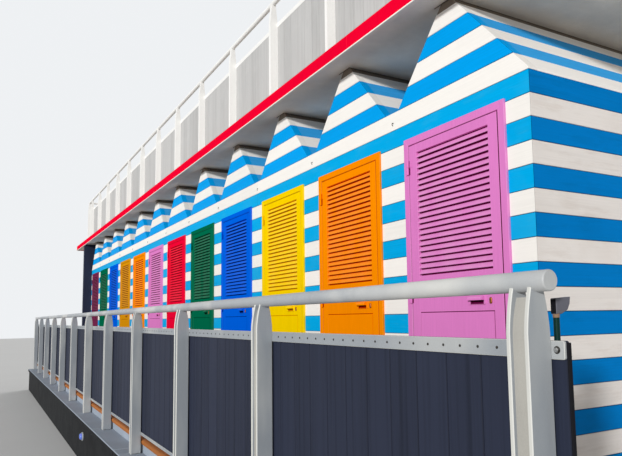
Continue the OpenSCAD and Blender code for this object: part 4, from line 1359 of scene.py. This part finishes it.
@dataclass
class Walkway:
    """Deck boards, joists, kerb coping and base."""

    board: float = 0.1178
    gap: float = 0.005
    thick: float = 0.028
    stock: float = 3.6
    shortest: float = 0.6
    nose_r: float = 0.020
    nose_steps: int = 10
    edge: float = 0.002
    end_gap: float = 0.0015
    apron: Flat = (0.004, 0.034)
    joist_w: float = 0.045
    joist_y: Flat = (0.4, 0.8)
    joist_gap: float = 0.01
    coping: float = 1.21
    coping_gap: float = 0.002
    riser_set: float = 0.014
    riser_t: float = 0.012

    def deck(self) -> None:
        """Builds the deck boards, with a rounded nosing along the front edge."""
        low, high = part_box("deck_boards")
        wing_low, wing_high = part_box("far_wing_wall")
        piece = Piece("deck_planks")
        top, under = ROW.deck, ROW.deck - self.thick
        rows = round((high.y - low.y) / (self.board + self.gap))
        width = (high.y - low.y + self.gap) / rows - self.gap
        whole, by_wing = [(low.x, high.x)], [(low.x, wing_low.x), (wing_high.x, high.x)]
        r = min(self.nose_r, (top - low.z) / 2.0)
        for row in range(rows):
            y0 = low.y + row * (width + self.gap)
            y1 = min(y0 + width, high.y)
            nosing = [(y1, top)] + arc((y0 + r, top - r), r, 0.5, 1.5, self.nose_steps) + [(y1, top - 2 * r)]
            for x0, x1 in self.lengths(by_wing if y1 > wing_low.y else whole, row):
                if row == 0:
                    piece.loft([[(x, *spot) for spot in nosing] for x in (x0, x1)], Coats.DECK, smooth=True)
                else:
                    piece.board(Axis.X, (x0, y0, under), (x1, y1, top), Coats.DECK, self.edge)
        front, back = (low.y + set_back for set_back in self.apron)
        piece.board(Axis.X, (low.x, front, low.z), (high.x, back, under), Coats.DECK, self.edge)
        for y in (low.y + set_back for set_back in self.joist_y):
            for x0, x1 in ((low.x, wing_low.x - self.joist_gap), (wing_high.x + self.joist_gap, high.x)):
                piece.board(Axis.X, (x0, y, low.z), (x1, y + self.joist_w, under), Coats.SAWN_Y)
        piece.make("row", "deck_timber", "deck_boards")

    def lengths(self, spans: list[Flat], row: int) -> list[Flat]:
        """Splits a row of the deck into board lengths.

        Args:
            spans: Start and end of each stretch of the row.
            row: Number of the row, which staggers the joints.

        Returns:
            Start and end of each board.
        """
        result = []
        for start, end in spans:
            cuts = [start]
            spot = start + self.stock * (0.5 + 0.5 * (row % 2))
            while spot < end - self.shortest:
                cuts.append(spot)
                spot += self.stock
            result += [(a + self.end_gap, b - self.end_gap) for a, b in zip(cuts, cuts[1:] + [end])]
        return result

    def kerb(self) -> None:
        """Builds the coping in cast lengths, and the riser between it and the deck."""
        low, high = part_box("kerb")
        deck_low, deck_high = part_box("deck_boards")
        piece = Piece("kerb_coping")
        for x0, x1 in split(low.x, high.x, self.coping, self.coping_gap):
            corners = (x0, low.y, low.z), (x1, high.y, high.z)
            # Coping in the blue-grey with painted sky shade; its front face in the near-black base colour, as
            # painted shade.
            piece.board(Axis.X, *corners, Coats.KERB, EASE.stone, {6: Coats.BASE})
        # The riser too is in the blue-grey with painted sky shade.
        y = deck_low.y + self.riser_set
        corners = (deck_low.x, y, high.z), (deck_high.x, y + self.riser_t, deck_low.z)
        piece.board(Axis.X, *corners, Coats.KERB)
        piece.make("row", "kerb_concrete", "kerb")

    def build(self) -> None:
        """Builds the walkway and dresses the solids that stay."""
        self.deck()
        self.kerb()
        # The base is near-black: partly painted shade.
        dress(Coats.BASE, "base")
        dress(Coats.FLOOR, "cabin_floor")
        dress(Coats.SAWN_Y, "deck_joists", "valley_beams")


@dataclass
class WalkwayRailing:
    """Twin plate posts, round handrail, flat bars and slate boards."""

    posts: int = 12
    first_bay: float = 1.683
    plate: float = 0.013
    width: float = 0.072
    depth: float = 0.080
    top_depth: float = 0.042
    shoulder: float = 1.562
    bend: float = 0.35
    bend_steps: int = 12
    into_rail: float = 0.010
    foot_t: float = 0.006
    foot_in: float = 0.004
    web: float = 0.008
    web_set: float = 0.011
    web_drop: float = 0.012
    web_lap: float = 0.001
    rail_r: float = 0.0265
    rail_z: float = 1.689
    top_bar: float = 0.045
    low_bar: float = 0.024
    bar_corner: float = 0.005
    screw_clear: float = 0.05
    bolt_in: float = 0.022
    board: float = 0.150
    joint: float = 0.0016
    board_t: float = 0.013
    strip_t: float = 0.004

    def post_places(self) -> list[float]:
        """Spaces the posts between the ends of the railing.

        Returns:
            The X of each post's centre, from the near end.
        """
        low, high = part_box("rail_posts")
        first, last = high.x - self.width / 2.0, low.x + self.width / 2.0
        bay = (first - self.first_bay - last) / (self.posts - 2)
        return [first] + [first - self.first_bay - k * bay for k in range(self.posts - 1)]

    def plate_outline(self, y0: float, y1: float, foot: float, top: float) -> list[Flat]:
        """Returns the outline of a post plate in YZ, with curved shoulders.

        Args:
            y0: Front edge.
            y1: Back edge.
            foot: Lower end.
            top: Upper end.

        Returns:
            The corners.
        """
        narrow, rise = (self.depth - self.top_depth) / 2.0, top - self.shoulder
        bend, places = self.bend, [n / self.bend_steps for n in range(self.bend_steps + 1)]
        curve = [(narrow * (bend * t + (1.0 - bend) * t * t), self.shoulder + rise * t) for t in places]
        right = [(y1 - a, z) for a, z in curve]
        left = [(y0 + a, z) for a, z in reversed(curve)]
        return [(y0, foot), (y1, foot)] + right + left

    def post_row(self) -> None:
        """Builds the posts, two plates each, with a web set between them."""
        low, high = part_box("rail_posts")
        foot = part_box("kerb")[1].z
        piece = Piece("rail_post_plates")
        w, t, ins, middle = self.width / 2.0, self.plate, self.web_set, (low.y + high.y) / 2.0
        outline = self.plate_outline(low.y, high.y, foot, self.rail_z - self.into_rail)
        top = self.rail_z - self.rail_r - self.web_drop
        inner = self.plate_outline(low.y + ins, high.y - ins, foot, top)
        webs = []
        for side in (1.0, -1.0):
            skin = sorted((p for p in inner if (middle - p[0]) * side > 0), key=lambda p: p[1])
            webs.append(skin + [(a + side * self.web, z) for a, z in reversed(skin)])
        for x in self.post_places():
            for a in (x - w, x + w - t):
                # Post plates in the coat darkened as painted shade; their edges take the edge mark, a painted
                # highlight.
                worn = tuple(range(1, len(outline)))
                piece.plate(Axis.X, outline, a, a + t, Coats.GREY_METAL, EASE.wide, worn=worn)
            for web in webs:
                start, end = x - w + t - self.web_lap, x + w - t + self.web_lap
                # Webs in the coat darkened as painted shade.
                piece.plate(Axis.X, web, start, end, Coats.WEB_METAL, 0.0)
            front, back = low.y + self.foot_in, high.y - self.foot_in
            # Foot in the coat darkened as painted shade.
            piece.board(Axis.Z, (x - w, front, foot), (x + w, back, foot + self.foot_t), Coats.GREY_METAL)
        piece.make("row", "grey_metal", "rail_posts")

    def rail(self) -> None:
        """Builds the handrail, with rounded rims at its flat ends."""
        low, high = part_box("handrail")
        piece = Piece("handrail_tube")
        rim = [(0.0, 0.003), (0.0022, 0.0006), (0.004, 0.0)]
        profile = [(low.x + along, self.rail_r - less) for along, less in rim]
        profile += [(high.x - along, self.rail_r - less) for along, less in reversed(rim)]
        # Handrail in the coat darkened as painted shade, with painted sun flecks.
        piece.turned(Axis.X, ((low.y + high.y) / 2.0, self.rail_z), profile, Coats.RAIL_METAL, 40)
        piece.make("row", "grey_metal", "handrail")

    def bars(self) -> None:
        """Builds the top and bottom bars with their screws and end bolts."""
        low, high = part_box("rail_bars")
        piece = Piece("rail_flat_bars")
        outline = rounded((low.x, high.z - self.top_bar), (high.x, high.z), self.bar_corner)
        # Bars in the coat darkened as painted shade.
        piece.plate(Axis.Y, outline, low.y, high.y, Coats.GREY_METAL)
        piece.board(Axis.X, low, (high.x, high.y, low.z + self.low_bar), Coats.GREY_METAL, EASE.middle)
        x, step, places = high.x - self.board / 2.0, self.board / 2.0, self.post_places()
        while x > low.x:
            if min(abs(x - p) for p in places) > self.screw_clear:
                piece.head(Head.BAR_SCREW, (x, high.z - self.top_bar / 2.0), low.y, Coats.DARK_STEEL)
            x -= step
        for x in (low.x + self.bolt_in, high.x - self.bolt_in):
            for shape, coat, sides in ((Head.WASHER, Coats.DARK_STEEL, 24), (Head.BOLT, Coats.STEEL, 6)):
                piece.head(shape, (x, high.z - self.bolt_in), low.y, coat, sides)
        piece.make("row", "grey_metal", "rail_bars")

    def panels(self) -> None:
        """Builds the slate boards between the bars, and the dark trims on their ends."""
        low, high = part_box("rail_panels")
        piece = Piece("rail_slate_boards")
        back = low.y + self.board_t
        # Slate boards in the stain darkened as painted shade.
        for x0, x1 in split(low.x, high.x, self.board, self.joint):
            piece.board(Axis.Z, (x0, low.y, low.z), (x1, back, high.z), Coats.SLATE, EASE.wide)
        piece.make("row", "slate_boards", "rail_panels")
        low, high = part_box("rail_end_trims")
        piece = Piece("rail_end_strips")
        back = low.y + self.board_t
        for x in (low.x, high.x - self.strip_t):
            piece.board(Axis.Z, (x, low.y, low.z), (x + self.strip_t, back, high.z), Coats.BLACK, EASE.small)
        piece.make("row", "black_trim", "rail_end_trims")

    def build(self) -> None:
        """Builds the railing."""
        for part in (self.post_row, self.rail, self.bars, self.panels):
            part()


# The terrace


@dataclass
class Terrace:
    """Slab with its red fascia, and the boarded railing on top of it."""

    fascia_t: float = 0.025
    fascia_len: float = 2.75
    fascia_gap: float = 0.0008
    drip_out: float = 0.006
    drip_d: float = 0.031
    panel_t: float = 0.022
    board: float = 0.133
    joint: float = 0.0006
    end_gap: float = 0.002

    def fascia(self) -> None:
        """Builds the fascia in lengths, and the drip edge under it."""
        low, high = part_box("fascia")
        piece = Piece("fascia_boards")
        for axis, xs, (y0, y1) in around(low, high, 0.0, self.fascia_t):
            for x0, x1 in split(*xs, self.fascia_len, self.fascia_gap) if axis is Axis.X else [xs]:
                piece.board(axis, (x0, y0, low.z), (x1, y1, high.z), Coats.CRIMSON, EASE.full)
        piece.make("row", "red_fascia", "fascia")
        low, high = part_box("drip_edge")
        piece = Piece("drip_strip")
        # The drip's inner band is in the soffit colour: painted shade under the fascia.
        bands = ((0.0, self.drip_out, Coats.CREAM), (self.drip_out, self.drip_d, Coats.SOFFIT))
        for start, end, coat in bands:
            for axis, (x0, x1), (y0, y1) in around(low, high, start, end):
                piece.board(axis, (x0, y0, low.z), (x1, y1, high.z), coat, EASE.slim)
        piece.make("row", "white_trim", "drip_edge")

    def panels(self) -> None:
        """Builds the pale boards of the railing on all four sides."""
        low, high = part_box("terrace_panels")
        piece = Piece("terrace_boards")
        for axis, xs, ys in around(low, high, 0.0, self.panel_t):
            if axis is Axis.X:
                boards = [(run, ys) for run in split(*xs, self.board, self.joint)]
            else:
                start, end = ys[0] + self.end_gap, ys[1] - self.end_gap
                boards = [(xs, run) for run in split(start, end, self.board, self.joint)]
            for (x0, x1), (y0, y1) in boards:
                piece.board(Axis.Z, (x0, y0, low.z), (x1, y1, high.z), Coats.PALE_BOARD, EASE.wide)
        piece.make("row", "pale_grey_boards", "terrace_panels")

    def build(self) -> None:
        """Builds the terrace and dresses the solids that stay."""
        self.fascia()
        self.panels()
        dress(Coats.SOFFIT, "terrace_slab")
        kept = ("terrace_posts", "terrace_rails", "terrace_handrails", "terrace_end_handrails")
        dress(Coats.WHITE_METAL, *kept)


# Fittings


@dataclass
class Fittings:
    """Masonry walls, kerb lamp and marker light."""

    dome_steps: int = 8
    dome_share: float = 0.76
    ring_t: float = 0.012
    ring_share: float = 0.78
    ring_ease: float = 0.003
    seam: float = 0.001
    rod_y: float = -1.027
    rod_r: float = 0.008
    cap_h: float = 0.044
    cap_half: float = 0.0095
    cap_ease: float = 0.0018
    cap_outline: tuple[Flat, ...] = (
        (-0.009, 0.0), (-0.009, 0.040), (0.046, 0.044), (0.043, 0.026), (0.035, 0.011), (0.011, 0.0))
    cap_face: tuple[Point, Point] = ((-0.008, -0.010, 0.001), (0.008, -0.006, 0.038))
    flange: tuple[Flat, ...] = ((0.0, 0.0135), (0.008, 0.0135), (0.010, 0.0115))
    collar: tuple[Flat, ...] = ((-0.009, 0.0084), (0.001, 0.0090))

    def lamp(self) -> None:
        """Builds the lamp on the side of the base, a ring and a frosted dome."""
        low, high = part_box("kerb_lamp")
        piece = Piece("kerb_lamp_dome")
        centre = ((low.x + high.x) / 2.0, (low.z + high.z) / 2.0)
        back, face, r = high.y, high.y - self.ring_t, (high.x - low.x) / 2.0
        ease = self.ring_ease
        rim = [(back, r), (face + ease, r), (face, r - ease), (face, r * self.ring_share)]
        # Ring in the railing coat, darkened as painted shade.
        piece.turned(Axis.Y, centre, rim, Coats.GREY_METAL, 36)
        deep, wide = face - low.y, r * self.dome_share
        angles = (math.pi / 2.0 * n / self.dome_steps for n in range(self.dome_steps + 1))
        dome = [(face - deep * math.sin(a), wide * math.cos(a) ** 0.5) for a in angles]
        piece.turned(Axis.Y, centre, [(face + self.seam, wide)] + dome, Coats.LAMP, 36)
        piece.make("row", "lamp_glass", "kerb_lamp")

    def marker(self) -> None:
        """Builds the slim rod with its wedge shaped cap."""
        low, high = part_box("marker_light")
        x, y, z, foot = (low.x + high.x) / 2.0, self.rod_y, high.z - self.cap_h, low.z
        r, half = self.rod_r, self.cap_half
        piece = Piece("marker_rod")
        piece.turned(Axis.Z, (x, y), [(foot, r), (z - 0.0005, r)], Coats.ROD_GREEN, 20)
        flange = [(foot + up, radius) for up, radius in self.flange]
        piece.turned(Axis.Z, (x, y), flange, Coats.ROD_GREEN, 20)
        corners = [(x + a, y + b, z + c) for a, b, c in self.cap_face]
        piece.board(Axis.Z, *corners, Coats.BLACK, EASE.fine)
        outline = [(y + a, z + b) for a, b in self.cap_outline]
        piece.plate(Axis.X, outline, x - half, x + half, Coats.CAP_GREY, self.cap_ease)
        collar = [(z + up, radius) for up, radius in self.collar]
        piece.turned(Axis.Z, (x, y), collar, Coats.TAN, 20)
        piece.make("row", "dark_green_metal", "marker_light")

    def build(self) -> None:
        """Builds the fittings and dresses the masonry."""
        self.lamp()
        self.marker()
        # The far wing wall is near-black navy: painted shade.
        dress(Coats.NAVY, "far_wing_wall")
        dress(Coats.PALE, "back_wall")


# The studio


@dataclass(frozen=True)
class Sun:
    """A distant lamp."""

    name: str
    power: float
    towards: Point
    width: float

    def hang(self) -> None:
        """Adds the lamp to the scene."""
        lamp = bpy.data.lights.new(self.name, "SUN")
        lamp.energy = self.power
        lamp.angle = math.radians(self.width)
        holder = bpy.data.objects.new(self.name, lamp)
        holder.rotation_euler = Vector(self.towards).to_track_quat("-Z", "Y").to_euler()
        bpy.context.scene.collection.objects.link(holder)


@dataclass
class Studio:
    """Floor, sky, lamps and camera."""

    eye: Point = (8.99349, -2.29979, 1.60980)
    down: Point = (-0.09533, 0.03714, -0.99475)
    ahead: Point = (-0.85835, 0.50302, 0.10104)
    lens: float = 35.67
    sensor: float = 36.0
    far: float = 200.0
    shift: Flat = (-0.0498, 0.0420)
    reach: float = 60.0
    pale: Colour = (0.86, 0.88, 0.90)
    sky: float = 0.36
    key: Sun = Sun("key_light", 2.65, (-0.68, 1.0, -0.27), 5.0)
    back: Sun = Sun("back_light", 0.9, (0.60, -0.80, -0.50), 30.0)

    def world(self) -> None:
        """Makes a soft even sky, which the camera, mirrors and glass see as a pale backdrop."""
        world = bpy.data.worlds.new("studio")
        bpy.context.scene.world = world
        world.use_nodes = True
        bench = Bench(world.node_tree)
        soft = bench.tree.nodes["Background"]
        bench.join((1.0, 1.0, 1.0), soft.inputs["Color"])
        bench.join(self.sky, soft.inputs["Strength"])
        shown = bench.node("Background", {"Color": self.pale, "Strength": 1.0})
        path = bench.node("LightPath", {})
        seen = path.outputs["Is Camera Ray"]
        for name in ("Is Glossy Ray", "Is Transmission Ray"):
            seen = bench.maths("MAXIMUM", seen, path.outputs[name])
        mix = bench.node("MixShader", {0: seen, 1: soft.outputs[0], 2: shown.outputs[0]})
        bench.join(mix.outputs[0], bench.tree.nodes["World Output"].inputs[0])

    def floor(self) -> None:
        """Lays a plain pale floor that keeps the row's shadow."""
        mesh = bpy.data.meshes.new("studio_floor")
        corners = rectangle((-self.reach, -self.reach), (self.reach, self.reach))
        mesh.from_pydata([(x, y, 0.0) for x, y in corners], [], [(0, 1, 2, 3)])
        b = Coating("floor_paint", (0.70, 0.70, 0.69), Specular_IOR_Level=0.2)
        cloud = b.noise(0.6, 3.0, 0.55)
        b.lay((0.74, 0.74, 0.73), cloud)
        mesh.materials.append(b.finish(0.8, cloud, 0.0005, 0.1))
        floor = bpy.data.objects.new("studio_floor", mesh)
        bpy.context.scene.collection.objects.link(floor)

    def camera(self) -> None:
        """Sets the camera at the photograph's viewpoint."""
        data = bpy.data.cameras.new("photo_camera")
        data.sensor_width = self.sensor
        data.lens = self.lens
        data.shift_x, data.shift_y = self.shift
        data.clip_end = self.far
        holder = bpy.data.objects.new("photo_camera", data)
        back = -Vector(self.ahead).normalized()
        across = (-Vector(self.down)).cross(back).normalized()
        turn = Matrix((across, back.cross(across), back)).transposed()
        holder.matrix_world = Matrix.Translation(self.eye) @ turn.to_4x4()
        bpy.context.scene.collection.objects.link(holder)
        bpy.context.scene.camera = holder

    def build(self) -> None:
        """Sets up the studio."""
        bpy.context.scene.view_settings.view_transform = "Standard"
        for part in (self.world, self.floor, self.key.hang, self.back.hang, self.camera):
            part()


DOOR_COLOURS = "pink orange yellow blue green red pink orange amber blue green plum"


def main() -> None:
    """Builds the studio and every sub-assembly in order."""
    logging.basicConfig(level=logging.INFO, format="%(name)s: %(message)s")
    doors = [Doorway(number, DoorColour(word)) for number, word in enumerate(DOOR_COLOURS.split(), start=1)]
    for part in (Studio(), Walkway(), Cladding(), *doors, Fittings(), Terrace(), WalkwayRailing()):
        part.build()


if __name__ == "__main__":
    main()
